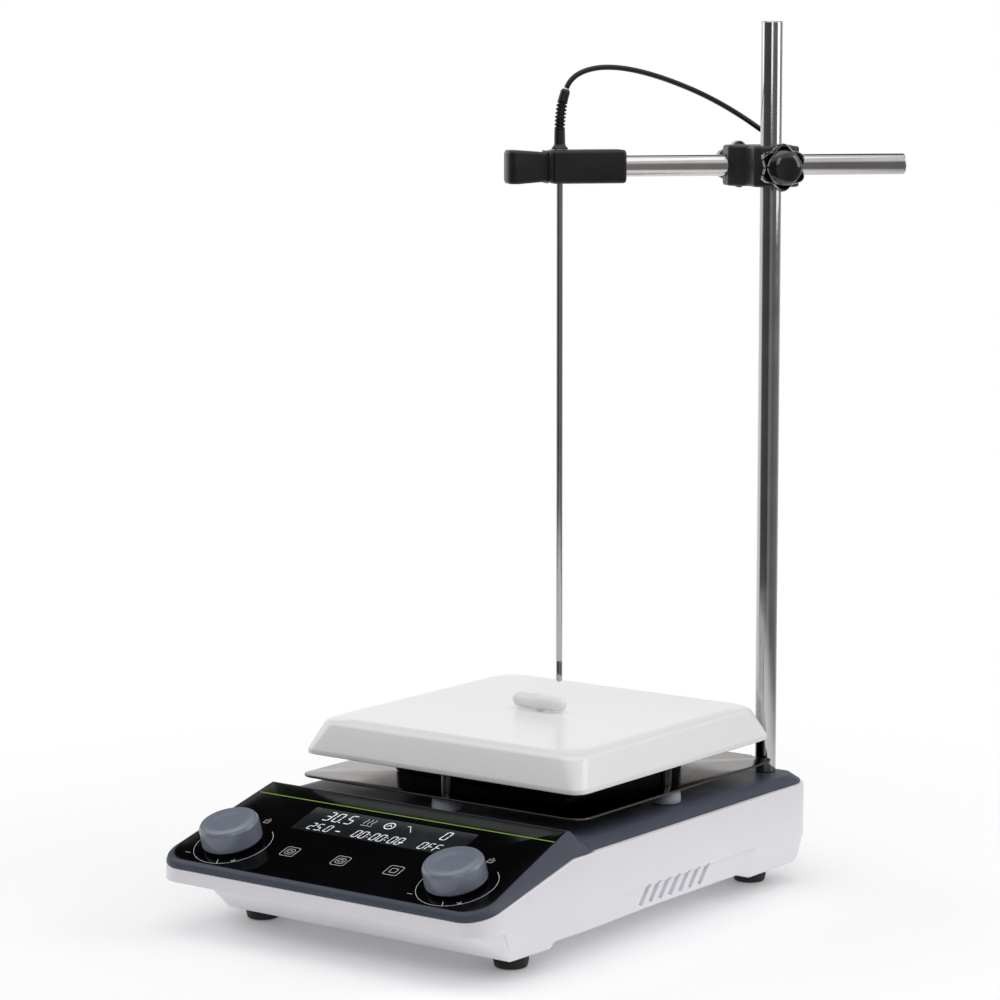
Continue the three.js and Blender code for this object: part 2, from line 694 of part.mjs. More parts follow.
// ---------- boss head: x along the arm, y to the rear ----------
const BOSS_HALF_HEIGHT = 9.5;
const ARM_KNOB_X = -9;
const bossOutline = new THREE.Shape();
bossOutline.moveTo(-8, -13);
bossOutline.lineTo(8, -13);
bossOutline.lineTo(11, -10);
bossOutline.lineTo(11, 2);
bossOutline.lineTo(12.5, 5);
bossOutline.lineTo(12.5, 17.5);
bossOutline.lineTo(10, 20);
bossOutline.lineTo(-16, 20);
bossOutline.lineTo(-19, 17);
bossOutline.lineTo(-19, 7);
bossOutline.lineTo(-16, 4);
bossOutline.lineTo(-11, 2);
bossOutline.lineTo(-11, -10);
const bossBlank = new THREE.ExtrudeGeometry(bossOutline, {
  depth: 2 * BOSS_HALF_HEIGHT - 3,
  bevelThickness: 1.5,
  bevelSize: 1.2,
  bevelOffset: -1.2,
  bevelSegments: 2,
}).translate(0, 0, ARM_Z - BOSS_HALF_HEIGHT + 1.5);
const rearChamfer = box(60, 5, 5).rotateX(Math.PI / 4);
const bossGeometry = cut(
  bossBlank,
  moved(cylinder(ROD_R + GAP, 40, 32), 0, 0, ARM_Z - 20),
  moved(alongX(ROD_R + GAP, 60, 32), -30, ARM_BACK, ARM_Z),
  moved(rearChamfer, 0, 20.6, ARM_Z + BOSS_HALF_HEIGHT - 2.9),
  moved(alongY(3.3, 12, 24), 0, -16, ARM_Z),
  moved(alongY(3.3, 12, 24), ARM_KNOB_X, 15, ARM_Z),
);
add('boss_head', bossGeometry, 'slate', standGroup);

// star knob on its screw: profile along +Z from the screw's tip, then turned to its place
const LOBES = 6;
function starKnob(screwLength) {
  const outline = new THREE.Shape();
  const steps = LOBES * 6;
  for (let i = 0; i < steps; i++) {
    const angle = (2 * Math.PI * i) / steps;
    const radius = 10.2 + 1.0 * Math.cos(LOBES * angle);
    const x = radius * Math.cos(angle);
    const y = radius * Math.sin(angle);
    if (i === 0) outline.moveTo(x, y);
    else outline.lineTo(x, y);
  }
  const flange = extrude(outline, 8);
  const cap = turned(
    [
      [0, 7],
      [8.2, 7],
      [8.2, 9.4],
      [7.2, 11],
      [4.5, 12.2],
      [0, 12.6],
    ],
    24,
  );
  const hub = moved(cylinder(6.4, 2.4, 24), 0, 0, -2);
  const screw = moved(cylinder(2.9, screwLength, 24), 0, 0, -screwLength);
  return join(flange, cap, hub, screw);
}
const PAD_THICK = 1.2;
const ROD_PAD_Y = -(ROD_R + GAP + PAD_THICK);
const ROD_KNOB_Y = -16;
const rodKnob = starKnob(-ROD_KNOB_Y + ROD_PAD_Y - GAP).rotateX(Math.PI / 2);
add('rod_knob', moved(rodKnob, 0, ROD_KNOB_Y, ARM_Z), 'blackGloss', standGroup);
add('rod_pad', moved(alongY(2.9, PAD_THICK, 24), 0, ROD_PAD_Y, ARM_Z), 'brass', standGroup);
const ARM_PAD_Y = ARM_BACK + ROD_R + GAP;
const ARM_KNOB_Y = 23;
const armKnob = starKnob(ARM_KNOB_Y - ARM_PAD_Y - PAD_THICK - GAP).rotateX(-Math.PI / 2);
add('arm_knob', moved(armKnob, ARM_KNOB_X, ARM_KNOB_Y, ARM_Z), 'blackGloss', standGroup);
add('arm_pad', moved(alongY(2.9, PAD_THICK, 24), ARM_KNOB_X, ARM_PAD_Y, ARM_Z), 'brass', standGroup);

// ---------- arm, probe holder and probe ----------
const ARM_START = -88;
const armRod = turned(rodProfile(ARM_START, ARM_END), 32).rotateY(Math.PI / 2);
add('arm_rod', moved(armRod, 0, ARM_BACK, ARM_Z), 'stainless', standGroup);

// square bar with soft edges along the arm: x is its start, then its length and half height
function armBar(x, length, half, edge) {
  const bar = roundedPlate(2 * half, 2 * half, edge, length).rotateY(Math.PI / 2);
  return moved(bar, x, ARM_BACK, ARM_Z);
}
const HOLDER_HALF = 7.8;
const NUT_RIGHT = -105.1;
const HOLDER_NECK = -102.7;
const neck = armBar(NUT_RIGHT + GAP, HOLDER_NECK - NUT_RIGHT, HOLDER_HALF - 0.9, 1.5);
const holderBar = armBar(HOLDER_NECK, HOLDER_RIGHT - HOLDER_NECK, HOLDER_HALF, 1.5);
const rodBore = alongX(ROD_R + GAP, 40, 32);
const PROBE_R = 1.5;
const probeHole = moved(cylinder(PROBE_R + GAP, 40, 20), PROBE_X, ARM_BACK, ARM_Z - 20);
add(
  'probe_holder',
  cut(join(neck, holderBar), moved(rodBore, ARM_START - GAP, ARM_BACK, ARM_Z), probeHole),
  'blackMatte',
  standGroup,
);
const NUT_NOSE = 5; // length of the rounded nose of the nut
const nutBody = armBar(HOLDER_LEFT + NUT_NOSE, NUT_RIGHT - HOLDER_LEFT - NUT_NOSE, HOLDER_HALF, 1.5);
const nutNose = loft(
  [0, 0.3, 0.6, 0.85, 1].map((share) => {
    const width = HOLDER_HALF - NUT_NOSE * (1 - Math.sqrt(share * (2 - share)));
    const height = HOLDER_HALF - 1.2 * Math.max(0, 1 - 3 * share);
    return roundedOutline(2 * width, 2 * height, 1.5)
      .getPoints(4)
      .slice(0, -1)
      .map(({ x, y }) => [HOLDER_LEFT + NUT_NOSE * share, ARM_BACK + x, ARM_Z + y]);
  }),
);
add('holder_nut', join(nutBody, nutNose), 'blackMatte', standGroup);

const RELIEF_Z = ARM_Z + HOLDER_HALF + GAP;
const probeProfile = [
  [0, PROBE_TIP_Z],
  [0.9, PROBE_TIP_Z + 0.3],
  [PROBE_R, PROBE_TIP_Z + 1.2],
  [PROBE_R, RELIEF_Z - GAP],
  [0, RELIEF_Z - GAP],
];
add('probe_tube', moved(turned(probeProfile, 24), PROBE_X, ARM_BACK, 0), 'stainless', standGroup);
const reliefFoot = turned([
  [0, RELIEF_Z],
  [3.9, RELIEF_Z],
  [3.7, RELIEF_Z + 0.8],
  [2.7, RELIEF_Z + 2.2],
  [2.6, 358.6],
  [0, 358.6],
], 24);
class Route extends THREE.Curve {
  constructor(curve, from = 0, to = 1) {
    super();
    this.curve = curve;
    this.from = from;
    this.to = to;
  }
  getPoint(t, target) {
    return this.curve.getPointAt(this.from + (this.to - this.from) * t, target);
  }
}
function tube(path, radius, sides, steps) {
  const section = new THREE.Shape();
  for (let i = 0; i < sides; i++) {
    const angle = (2 * Math.PI * i) / sides;
    const x = radius * Math.cos(angle);
    const y = radius * Math.sin(angle);
    if (i === 0) section.moveTo(x, y);
    else section.lineTo(x, y);
  }
  return new THREE.ExtrudeGeometry(section, { extrudePath: path, steps, bevelEnabled: false });
}
const vectors = (list) => list.map(([x, y, z]) => new THREE.Vector3(x, y, z));
const reliefBend = new THREE.CatmullRomCurve3(
  vectors([
    [0, 0, 358],
    [0.3, 0, 364],
    [1.2, 0, 370.5],
    [3.0, 0, RELIEF_TOP_Z],
  ]),
);
add(
  'strain_relief',
  moved(join(reliefFoot, tube(reliefBend, 2.3, 12, 6)), PROBE_X, ARM_BACK, 0),
  'rubber',
  standGroup,
);

// ---------- probe lead ----------
// over the clamp, in the stand's frame: out of the strain relief, in an arch, over the rear edge of the
// boss head and down behind the stand rod
const LEAD_OVER = vectors([
  [PROBE_X + 3.15, 12, RELIEF_TOP_Z + 0.4],
  [PROBE_X + 4.6, 12, 380.1],
  [-91.0, 12, 383.2],
  [-86.0, 12, 385.6],
  [-79.2, 12.1, 386.9],
  [-71.0, 12.4, 386.8],
  [-62.0, 12.9, 385.4],
  [-52.0, 13.5, 382.8],
  [-41.5, 14.2, 379.2],
  [-30.5, 15, 374.7],
  [-19.5, 15.6, 369.2],
  [-9.0, 15.8, 363.0],
  [0.2, 16.2, 356.9],
  [5.6, 17.4, 353.6],
  [8.9, 19.6, 351.2],
  [10.0, 21.9, 347.4],
  [9.4, 22.7, 341],
  [7.6, 22.8, 332],
  [6.2, 22.6, 324],
  [5.6, 22.4, 314],
  [5.5, 22.4, 300],
]);
const DROP_X = 5.5;
const DROP_Y = 22.4;
const DROP_TOP_Z = 300;
const DROP_END_Z = 120;
const overCurve = new THREE.CatmullRomCurve3(LEAD_OVER, false, 'centripetal');
const overLength = overCurve.getLength();
// share of the length at which the curve passes nearest the given point of the list
function shareAt(index) {
  const count = 2000;
  let best = 0;
  for (let i = 0; i <= count; i++) {
    const here = overCurve.getPointAt(i / count).distanceTo(LEAD_OVER[index]);
    if (here < overCurve.getPointAt(best / count).distanceTo(LEAD_OVER[index])) best = i;
  }
  return best / count;
}
const half = GAP / 2 / overLength;
const ARCH_A_END = shareAt(6);
const ARCH_B_END = shareAt(9);
const ARCH_C_END = shareAt(13);
const overPieces = [
  ['lead_arch_a', 0, ARCH_A_END - half, 9],
  ['lead_arch_b', ARCH_A_END + half, ARCH_B_END - half, 5],
  ['lead_arch_c', ARCH_B_END + half, ARCH_C_END - half, 6],
  ['lead_over_clamp', ARCH_C_END + half, 1 - half, 15],
];
for (const [name, from, to, steps] of overPieces) {
  add(name, tube(new Route(overCurve, from, to), LEAD_R, 8, steps), 'rubber', standGroup);
}
const drop = cylinder(LEAD_R, DROP_TOP_Z - DROP_END_Z - GAP, 8);
add('lead_drop', moved(drop, DROP_X, DROP_Y, DROP_END_Z + GAP / 2), 'rubber', standGroup);

// along the bench: from the drop to the coil behind the housing, and from the coil up to the socket
const dropFoot = new THREE.Vector3(DROP_X, DROP_Y, 0)
  .applyAxisAngle(new THREE.Vector3(0, 0, 1), ARM_TURN)
  .add(new THREE.Vector3(ROD_X, ROD_Y, 0));
const FLOOR_LEAD_Z = LEAD_R + 0.3;
const COIL_HALF = 3.75; // half the width of the ring of turns
const COIL_TOP_Z = 5.4;
const COIL_SIDE = COIL_R + COIL_HALF - LEAD_R; // where the lead meets the outermost turn
const COIL_CLEAR = 10; // how far from the ring's middle the straight stretches stop
const benchCurve = new THREE.CatmullRomCurve3(
  vectors([
    [dropFoot.x, dropFoot.y, DROP_END_Z],
    [dropFoot.x, dropFoot.y, 90],
    [dropFoot.x, dropFoot.y, 60],
    [dropFoot.x, dropFoot.y, 34],
    [dropFoot.x - 0.1, dropFoot.y, 20],
    [dropFoot.x - 1.6, dropFoot.y, 11],
    [dropFoot.x - 5.4, dropFoot.y - 0.1, 4.6],
    [dropFoot.x - 11.4, dropFoot.y - 0.4, FLOOR_LEAD_Z],
    [dropFoot.x - 20.0, dropFoot.y - 1.2, FLOOR_LEAD_Z],
    [dropFoot.x - 34.0, dropFoot.y - 3.2, FLOOR_LEAD_Z],
    [COIL_X + 22, COIL_Y - COIL_SIDE - 0.3, FLOOR_LEAD_Z],
    [COIL_X + 16, COIL_Y - COIL_SIDE, FLOOR_LEAD_Z],
    [COIL_X + COIL_CLEAR, COIL_Y - COIL_SIDE, FLOOR_LEAD_Z],
  ]),
  false,
  'centripetal',
);
add('lead_bench', tube(new Route(benchCurve), LEAD_R, 8, 26), 'rubber');
// the turns lie side by side in two layers
const coilRing = turned(
  [
    [COIL_R - COIL_HALF, 0.3],
    [COIL_R + COIL_HALF, 0.3],
    [COIL_R + COIL_HALF, COIL_TOP_Z],
    [COIL_R - COIL_HALF, COIL_TOP_Z],
    [COIL_R - COIL_HALF, 0.3],
  ],
  28,
);
add('lead_coil', moved(coilRing, COIL_X, COIL_Y, 0), 'rubber');

// plug in the probe socket, seen along its axis from the socket outward
const PLUG_Y = REAR_Y - 6;
const plugProfile = [
  [0, 0],
  [3.6, 0],
  [4, 0.5],
  [4, 9],
  [5.6, 9],
  [5.8, 10],
  [5.8, 19],
  [4.6, 21.5],
  [2.6, 23],
  [2, 31],
  [0, 31],
];
const plug = turned(plugProfile, 24).rotateX(-Math.PI / 2);
add('lead_plug', moved(plug, SOCKET_X, PLUG_Y, REAR_PART_Z), 'blackMatte');
const tailStart = PLUG_Y + 31 + GAP;
const tailCurve = new THREE.CatmullRomCurve3(
  vectors([
    [SOCKET_X, tailStart, REAR_PART_Z],
    [SOCKET_X, tailStart + 4.5, REAR_PART_Z - 0.7],
    [SOCKET_X, tailStart + 9.5, REAR_PART_Z - 4],
    [SOCKET_X - 0.3, tailStart + 13, REAR_PART_Z - 9.5],
    [SOCKET_X - 1.4, tailStart + 14.6, REAR_PART_Z - 17],
    [SOCKET_X - 3.8, tailStart + 14.6, REAR_PART_Z - 25],
    [SOCKET_X - 8.6, tailStart + 14, REAR_PART_Z - 31.2],
    [SOCKET_X - 15.4, tailStart + 11.4, FLOOR_LEAD_Z + 0.2],
    [COIL_X + 15, COIL_Y + COIL_SIDE + 0.4, FLOOR_LEAD_Z + 1.3],
    [COIL_X + COIL_CLEAR, COIL_Y + COIL_SIDE, COIL_TOP_Z - LEAD_R - 0.2],
  ]),
  false,
  'centripetal',
);
add('lead_tail', tube(new Route(tailCurve), LEAD_R, 8, 15), 'rubber');

// ---------- the footprint's centre becomes the origin; the lead is left out of it ----------
object.updateMatrixWorld(true);
const extent = new THREE.Box3();
object.traverse((node) => {
  if (node.isMesh && !node.name.startsWith('lead_')) extent.expandByObject(node, true);
});
const root = new THREE.Group();
object.position.set(-(extent.min.x + extent.max.x) / 2, -(extent.min.y + extent.max.y) / 2, 0);
root.add(object);

export default root;
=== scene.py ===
"""Looks of a hot-plate magnetic stirrer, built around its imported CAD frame.

Pieces are drawn in millimetres in one of four local frames (housing, panel, stand, arm) that are read
from the CAD model, and are stored in metres in the row frame.
"""

import json
import math

import bpy
from mathutils import Matrix, Vector


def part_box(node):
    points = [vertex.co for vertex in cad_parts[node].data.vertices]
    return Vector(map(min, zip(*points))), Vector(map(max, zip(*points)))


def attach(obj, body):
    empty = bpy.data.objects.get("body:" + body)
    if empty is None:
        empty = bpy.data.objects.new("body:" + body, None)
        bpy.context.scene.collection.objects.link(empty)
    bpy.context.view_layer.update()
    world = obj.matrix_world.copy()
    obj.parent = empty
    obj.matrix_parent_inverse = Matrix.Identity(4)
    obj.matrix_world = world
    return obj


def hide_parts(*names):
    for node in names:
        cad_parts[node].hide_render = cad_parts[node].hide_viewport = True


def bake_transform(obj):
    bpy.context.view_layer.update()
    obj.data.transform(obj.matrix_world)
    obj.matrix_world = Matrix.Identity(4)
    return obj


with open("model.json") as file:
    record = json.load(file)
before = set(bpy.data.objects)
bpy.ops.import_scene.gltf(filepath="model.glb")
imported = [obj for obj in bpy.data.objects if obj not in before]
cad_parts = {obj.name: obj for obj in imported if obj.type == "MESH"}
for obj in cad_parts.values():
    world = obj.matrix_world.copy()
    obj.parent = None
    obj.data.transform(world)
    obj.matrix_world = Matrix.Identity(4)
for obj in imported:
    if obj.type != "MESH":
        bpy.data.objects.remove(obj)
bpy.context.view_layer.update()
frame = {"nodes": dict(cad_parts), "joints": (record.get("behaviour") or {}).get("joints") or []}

MM = 0.001
TURN = 2 * math.pi

# ---------------------------------------------------------------- local frames, from the CAD model


def joint(name):
    return next(j for j in frame["joints"] if j["name"] == name)


def middle(node):
    low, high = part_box(node)
    return (low + high) / 2


def frame_at(origin, x_axis, y_axis, z_axis):
    """Matrix that takes millimetres in a local frame to metres in the row frame."""
    turn = Matrix((x_axis, y_axis, z_axis)).transposed().to_4x4()
    return Matrix.Translation(origin) @ turn @ Matrix.Scale(MM, 4)


X, Y, Z = Vector((1, 0, 0)), Vector((0, 1, 0)), Vector((0, 0, 1))
stir_axis = middle("drive_shaft")
HOUSING = frame_at(Vector((stir_axis.x, stir_axis.y, 0)), X, Y, Z)


def local_middle(node):
    return HOUSING.inverted() @ middle(node)


def local_box(node):
    """Lowest and highest corners of a node, in the housing's millimetres."""
    low, high = (HOUSING.inverted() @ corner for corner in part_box(node))
    return low, high


def upright_at(node):
    """A frame like the housing's, with its origin on the bench under the middle of a node."""
    low, high = local_box(node)
    return HOUSING @ Matrix.Translation(((low.x + high.x) / 2, (low.y + high.y) / 2, 0))



# panel: x to the right, y up the slope, z out of it, origin in the middle of its crest
DIAL_BELOW_CREST = 54.6
DIAL_STANDS = 5
panel_out = Vector(joint("left_turn")["axis"]).normalized()
panel_up = panel_out.cross(X)
left_dial, right_dial = Vector(joint("left_turn")["pos_m"]), Vector(joint("right_turn")["pos_m"])
crest_from_dials = (panel_up * DIAL_BELOW_CREST - panel_out * DIAL_STANDS) * MM
panel_crest = (left_dial + right_dial) / 2 + crest_from_dials
PANEL = frame_at(panel_crest, X, panel_up, panel_out)
DIAL_X = (right_dial - left_dial).length / 2 / MM
DIAL_PLACES = {side: PANEL @ Matrix.Translation((x, -DIAL_BELOW_CREST, 0))
               for side, x in (("left", -DIAL_X), ("right", DIAL_X))}

# stand: x along the arm, y to the rear, origin on the bench under the stand rod
rod_axis = middle("stand_rod")
arm_axis = middle("arm_rod")
arm_along = Vector(joint("arm_slide")["axis"]).normalized()
arm_behind = Z.cross(arm_along)
STAND = frame_at(Vector((rod_axis.x, rod_axis.y, 0)), arm_along, arm_behind, Z)
ARM_Z = arm_axis.z / MM
ARM_BACK = (arm_axis - rod_axis).dot(arm_behind) / MM


def turned_frame(base, origin, x_axis, y_axis):
    """A frame inside another: origin and axes are given in the base frame's millimetres."""
    x_axis, y_axis = Vector(x_axis), Vector(y_axis)
    turn = Matrix((x_axis, y_axis, x_axis.cross(y_axis))).transposed().to_4x4()
    return base @ Matrix.Translation(Vector(origin)) @ turn


# a lathe's z axis laid along the arm, or along a clamp screw
ALONG_ARM = turned_frame(STAND, (0, ARM_BACK, ARM_Z), (0, 1, 0), (0, 0, 1))

# ---------------------------------------------------------------- materials


class Nodes:
    """Short hand for building a node tree."""

    def __init__(self, name):
        self.material = bpy.data.materials.new(name)
        self.material.use_nodes = True
        self.tree = self.material.node_tree
        self.shader = self.tree.nodes["Principled BSDF"]

    def add(self, kind, **values):
        node = self.tree.nodes.new(kind)
        for key, value in values.items():
            if key in node.inputs:
                node.inputs[key].default_value = value
            else:
                setattr(node, key.lower(), value)
        return node

    def link(self, source, target):
        self.tree.links.new(source, target)

    def place(self, scale=(1, 1, 1), turn=(0, 0, 0)):
        """Object coordinates, stretched and turned: the same as the row frame in metres."""
        coordinates = self.add("ShaderNodeTexCoord")
        mapping = self.add("ShaderNodeMapping", Scale=scale, Rotation=turn)
        self.link(coordinates.outputs["Object"], mapping.inputs["Vector"])
        return mapping.outputs["Vector"]

    def noise(self, where, scale, detail=3.0, rough=0.5):
        texture = self.add("ShaderNodeTexNoise", Scale=scale, Detail=detail, Roughness=rough)
        self.link(where, texture.inputs["Vector"])
        return texture.outputs["Fac"]

    def spread(self, fac, low, high, start=0.3, stop=0.7):
        """Maps a grey value onto low..high."""
        ranged = self.add("ShaderNodeMapRange")
        for name, value in (("From Min", start), ("From Max", stop), ("To Min", low), ("To Max", high)):
            ranged.inputs[name].default_value = value
        self.link(fac, ranged.inputs["Value"])
        return ranged.outputs["Result"]

    def tint(self, fac, dark, light):
        ramp = self.add("ShaderNodeValToRGB")
        ramp.color_ramp.elements[0].position, ramp.color_ramp.elements[1].position = 0.3, 0.7
        ramp.color_ramp.elements[0].color, ramp.color_ramp.elements[1].color = (*dark, 1), (*light, 1)
        self.link(fac, ramp.inputs["Fac"])
        return ramp.outputs["Color"]

    def bump(self, height, strength, distance):
        bumped = self.add("ShaderNodeBump", Strength=strength, Distance=distance)
        self.link(height, bumped.inputs["Height"])
        self.link(bumped.outputs["Normal"], self.shader.inputs["Normal"])


def shade(color, factor):
    return tuple(min(1.0, c * factor) for c in color)


def surface(name, color, rough, metallic=0.0, vary=0.06, patch=40, grain=1800, bump=0.12, depth=2e-5,
            rough_spread=0.06, stretch=(1, 1, 1), turn=(0, 0, 0), **sockets):
    """A moulded, painted or metal finish: patchy colour, uneven gloss and a fine grain."""
    nodes = Nodes(name)
    soft = nodes.noise(nodes.place(), patch, 4.0)
    fine = nodes.noise(nodes.place(stretch, turn), grain, 2.0)
    patches = nodes.tint(soft, shade(color, 1 - vary), shade(color, 1 + vary))
    nodes.link(patches, nodes.shader.inputs["Base Color"])
    roughness = nodes.spread(soft, rough - rough_spread, rough + rough_spread)
    nodes.link(roughness, nodes.shader.inputs["Roughness"])
    nodes.shader.inputs["Metallic"].default_value = metallic
    for socket, value in sockets.items():
        nodes.shader.inputs[socket.replace("_", " ")].default_value = value
    nodes.bump(fine, bump, depth)
    return nodes.material


ARM_TURN = math.atan2(arm_along.y, arm_along.x)
DRAWN = dict(metallic=1.0, vary=0.05, patch=60, bump=0.06, depth=1e-5, rough_spread=0.05)
MATERIALS = {
    "shell": surface("shell_enamel", (0.80, 0.785, 0.83), 0.36, vary=0.012, grain=2600, bump=0.10,
                     Coat_Weight=0.25, Coat_Roughness=0.25),
    "cover": surface("slate_moulding", (0.058, 0.067, 0.092), 0.46, vary=0.05, grain=3200, bump=0.20,
                     depth=3e-5, Specular_IOR_Level=0.32),
    # a lighter grey than the cover: a painted highlight for the cover's rim
    "rim": surface("cover_edge_painted_highlight", (0.16, 0.18, 0.22), 0.35, vary=0.05, grain=3200),
    "panel": surface("panel_film", (0.0022, 0.0022, 0.0028), 0.12, vary=0.25, patch=25, bump=0.02,
                     rough_spread=0.03, Specular_IOR_Level=0.12),
    "display": surface("liquid_crystal", (0.018, 0.019, 0.021), 0.20, vary=0.30, patch=30, bump=0.02,
                       Specular_IOR_Level=0.10),
    "module": surface("moulded_black", (0.02, 0.02, 0.022), 0.5, vary=0.2),
    "board": surface("circuit_board", (0.02, 0.12, 0.05), 0.45, vary=0.35, patch=160),
    "knob": surface("dial_satin", (0.165, 0.185, 0.235), 0.28, vary=0.03, grain=3600, bump=0.10,
                    Coat_Weight=0.2, Coat_Roughness=0.3),
    "steel": surface("turned_steel", (0.62, 0.61, 0.60), 0.26, grain=900, stretch=(1, 1, 5), **DRAWN),
    "foot": surface("foot_rubber", (0.012, 0.012, 0.013), 0.62, vary=0.25, grain=1500, bump=0.4,
                    depth=6e-5),
    "post": surface("post_paint", (0.42, 0.45, 0.50), 0.45, vary=0.04),
    # stainless for the shield, backing plate and studs, darkened and browned: painted shade from under the
    # hot plate
    "sheet": surface("stainless_painted_shade", (0.115, 0.10, 0.09), 0.16, grain=700, stretch=(0.04, 1, 1),
                     **DRAWN),
    "heater": surface("heat_paint", (0.012, 0.011, 0.011), 0.42, vary=0.3, bump=0.3),
    "enamel": surface("plate_enamel", (0.88, 0.88, 0.885), 0.30, vary=0.006, patch=30, grain=900,
                      bump=0.015, rough_spread=0.015, Coat_Weight=0.3, Coat_Roughness=0.2),
    "insulation": surface("mineral_fibre", (0.55, 0.50, 0.42), 0.9, vary=0.2, grain=900, bump=0.8,
                          depth=3e-4),
    "element": surface("foil_element", (0.35, 0.30, 0.27), 0.4, metallic=0.8, vary=0.2),
    "brass": surface("turned_brass", (0.62, 0.45, 0.20), 0.3, grain=900, **DRAWN),
    "motor": surface("motor_paint", (0.10, 0.105, 0.11), 0.4, vary=0.1),
    "carrier": surface("machined_aluminium", (0.65, 0.65, 0.66), 0.35, grain=900, **DRAWN),
    "magnet": surface("nickel_plate", (0.55, 0.54, 0.52), 0.25, grain=900, **DRAWN),
    "ptfe": surface("white_fluoropolymer", (0.86, 0.86, 0.85), 0.42, vary=0.02, Subsurface_Weight=0.1),
    # the same drawn steel twice: the copy for the upright rod and the probe is darker than the level
    # rod's, painted shade
    "rod": surface("drawn_stainless_upright_painted_shade", (0.52, 0.51, 0.50), 0.13, grain=1500,
                   stretch=(1, 1, 0.02), **DRAWN),
    "arm": surface("drawn_stainless_level", (0.62, 0.60, 0.59), 0.13, grain=1500, stretch=(0.02, 1, 1),
                   turn=(0, 0, -ARM_TURN), **DRAWN),
    "boss": surface("boss_powder_coat", (0.022, 0.022, 0.025), 0.42, vary=0.15, grain=1400, bump=0.35,
                    depth=5e-5),
    "handwheel": surface("gloss_black", (0.006, 0.006, 0.007), 0.10, vary=0.2, bump=0.03,
                         Coat_Weight=0.8, Coat_Roughness=0.05),
    "holder": surface("holder_moulding", (0.013, 0.013, 0.014), 0.40, vary=0.2, grain=2200, bump=0.22,
                      depth=3e-5),
    "lead": surface("lead_silicone", (0.010, 0.010, 0.011), 0.40, vary=0.2, grain=1500, bump=0.15),
    "print": surface("print_white", (0.72, 0.73, 0.75), 0.4, vary=0.04),
    "segments": surface("segment_white", (0.80, 0.84, 0.88), 0.4, vary=0.03, Emission_Strength=0.35,
                        Emission_Color=(0.85, 0.92, 1.0, 1.0)),
    "green": surface("print_green", (0.22, 0.42, 0.03), 0.4, vary=0.05),
    "floor": surface("floor_paper", (0.95, 0.95, 0.955), 0.8, vary=0.004, patch=3, grain=300, bump=0.02,
                     Emission_Strength=0.11, Emission_Color=(1.0, 1.0, 1.0, 1.0)),
}


FLOOR_FADES = 0.17, 0.50


def fade_floor(tree):
    """The floor gives way to the white surroundings with its distance from the object."""
    coordinates, length, share, clear, mixed = (
        tree.nodes.new(f"ShaderNode{kind}")
        for kind in ("TexCoord", "VectorMath", "MapRange", "BsdfTransparent", "MixShader")
    )
    links = tree.links
    length.operation = "LENGTH"
    share.interpolation_type = "SMOOTHERSTEP"
    share.inputs["From Min"].default_value, share.inputs["From Max"].default_value = FLOOR_FADES
    links.new(coordinates.outputs["Object"], length.inputs[0])
    links.new(length.outputs["Value"], share.inputs["Value"])
    links.new(share.outputs["Result"], mixed.inputs["Fac"])
    links.new(tree.nodes["Principled BSDF"].outputs["BSDF"], mixed.inputs[1])
    links.new(clear.outputs["BSDF"], mixed.inputs[2])
    links.new(mixed.outputs["Shader"], tree.nodes["Material Output"].inputs["Surface"])


fade_floor(MATERIALS["floor"].node_tree)

# ---------------------------------------------------------------- mesh tools


def new_piece(name, verts, faces, place, material, sharp=32):
    """A mesh object from local millimetres; edges sharper than the angle stay crisp."""
    mesh = bpy.data.meshes.new(name)
    mesh.from_pydata([place @ Vector(v) for v in verts], [], faces)
    mesh.materials.append(MATERIALS[material])
    mesh.validate()
    mesh.shade_smooth()
    mesh.set_sharp_from_angle(angle=math.radians(sharp))
    piece = bpy.data.objects.new(name, mesh)
    bpy.context.scene.collection.objects.link(piece)
    return piece


def evaluated(piece):
    """Applies every modifier of a piece."""
    bpy.context.view_layer.update()
    shown = piece.evaluated_get(bpy.context.evaluated_depsgraph_get())
    mesh = bpy.data.meshes.new_from_object(shown)
    piece.modifiers.clear()
    old = piece.data
    piece.data = mesh
    bpy.data.meshes.remove(old)
    return piece


def bevel(piece, width, segments=2, angle=32):
    modifier = piece.modifiers.new("edges", "BEVEL")
    modifier.width, modifier.segments = width * MM, segments
    modifier.limit_method, modifier.angle_limit = "ANGLE", math.radians(angle)
    modifier.harden_normals = True
    return piece


def carve(piece, cutters):
    """Cuts pieces out of a piece and removes them."""
    for cutter in cutters:
        modifier = piece.modifiers.new("cut", "BOOLEAN")
        modifier.operation, modifier.solver, modifier.object = "DIFFERENCE", "EXACT", cutter
    evaluated(piece)
    for cutter in cutters:
        bpy.data.objects.remove(cutter)
    piece.data.set_sharp_from_angle(angle=math.radians(32))
    return piece


def fit(piece, body, slot, *nodes):
    """Rides a piece on its body, in place of CAD nodes; the slot is not used."""
    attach(piece, body)
    if nodes:
        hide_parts(*nodes)
    return piece


def lathe(profile, steps=64):
    """Turned solid about z from [radius, z] points that start and end on the axis."""
    verts, faces, rings = [], [], []
    for radius, z in profile:
        if radius < 1e-6:
            rings.append([len(verts)])
            verts.append((0, 0, z))
            continue
        rings.append(list(range(len(verts), len(verts) + steps)))
        for i in range(steps):
            angle = TURN * i / steps
            verts.append((radius * math.cos(angle), radius * math.sin(angle), z))
    for low, high in zip(rings, rings[1:]):
        for i in range(steps):
            j = (i + 1) % steps
            face = [low[i % len(low)], low[j % len(low)], high[j % len(high)], high[i % len(high)]]
            faces.append(list(dict.fromkeys(face)))
    return verts, faces


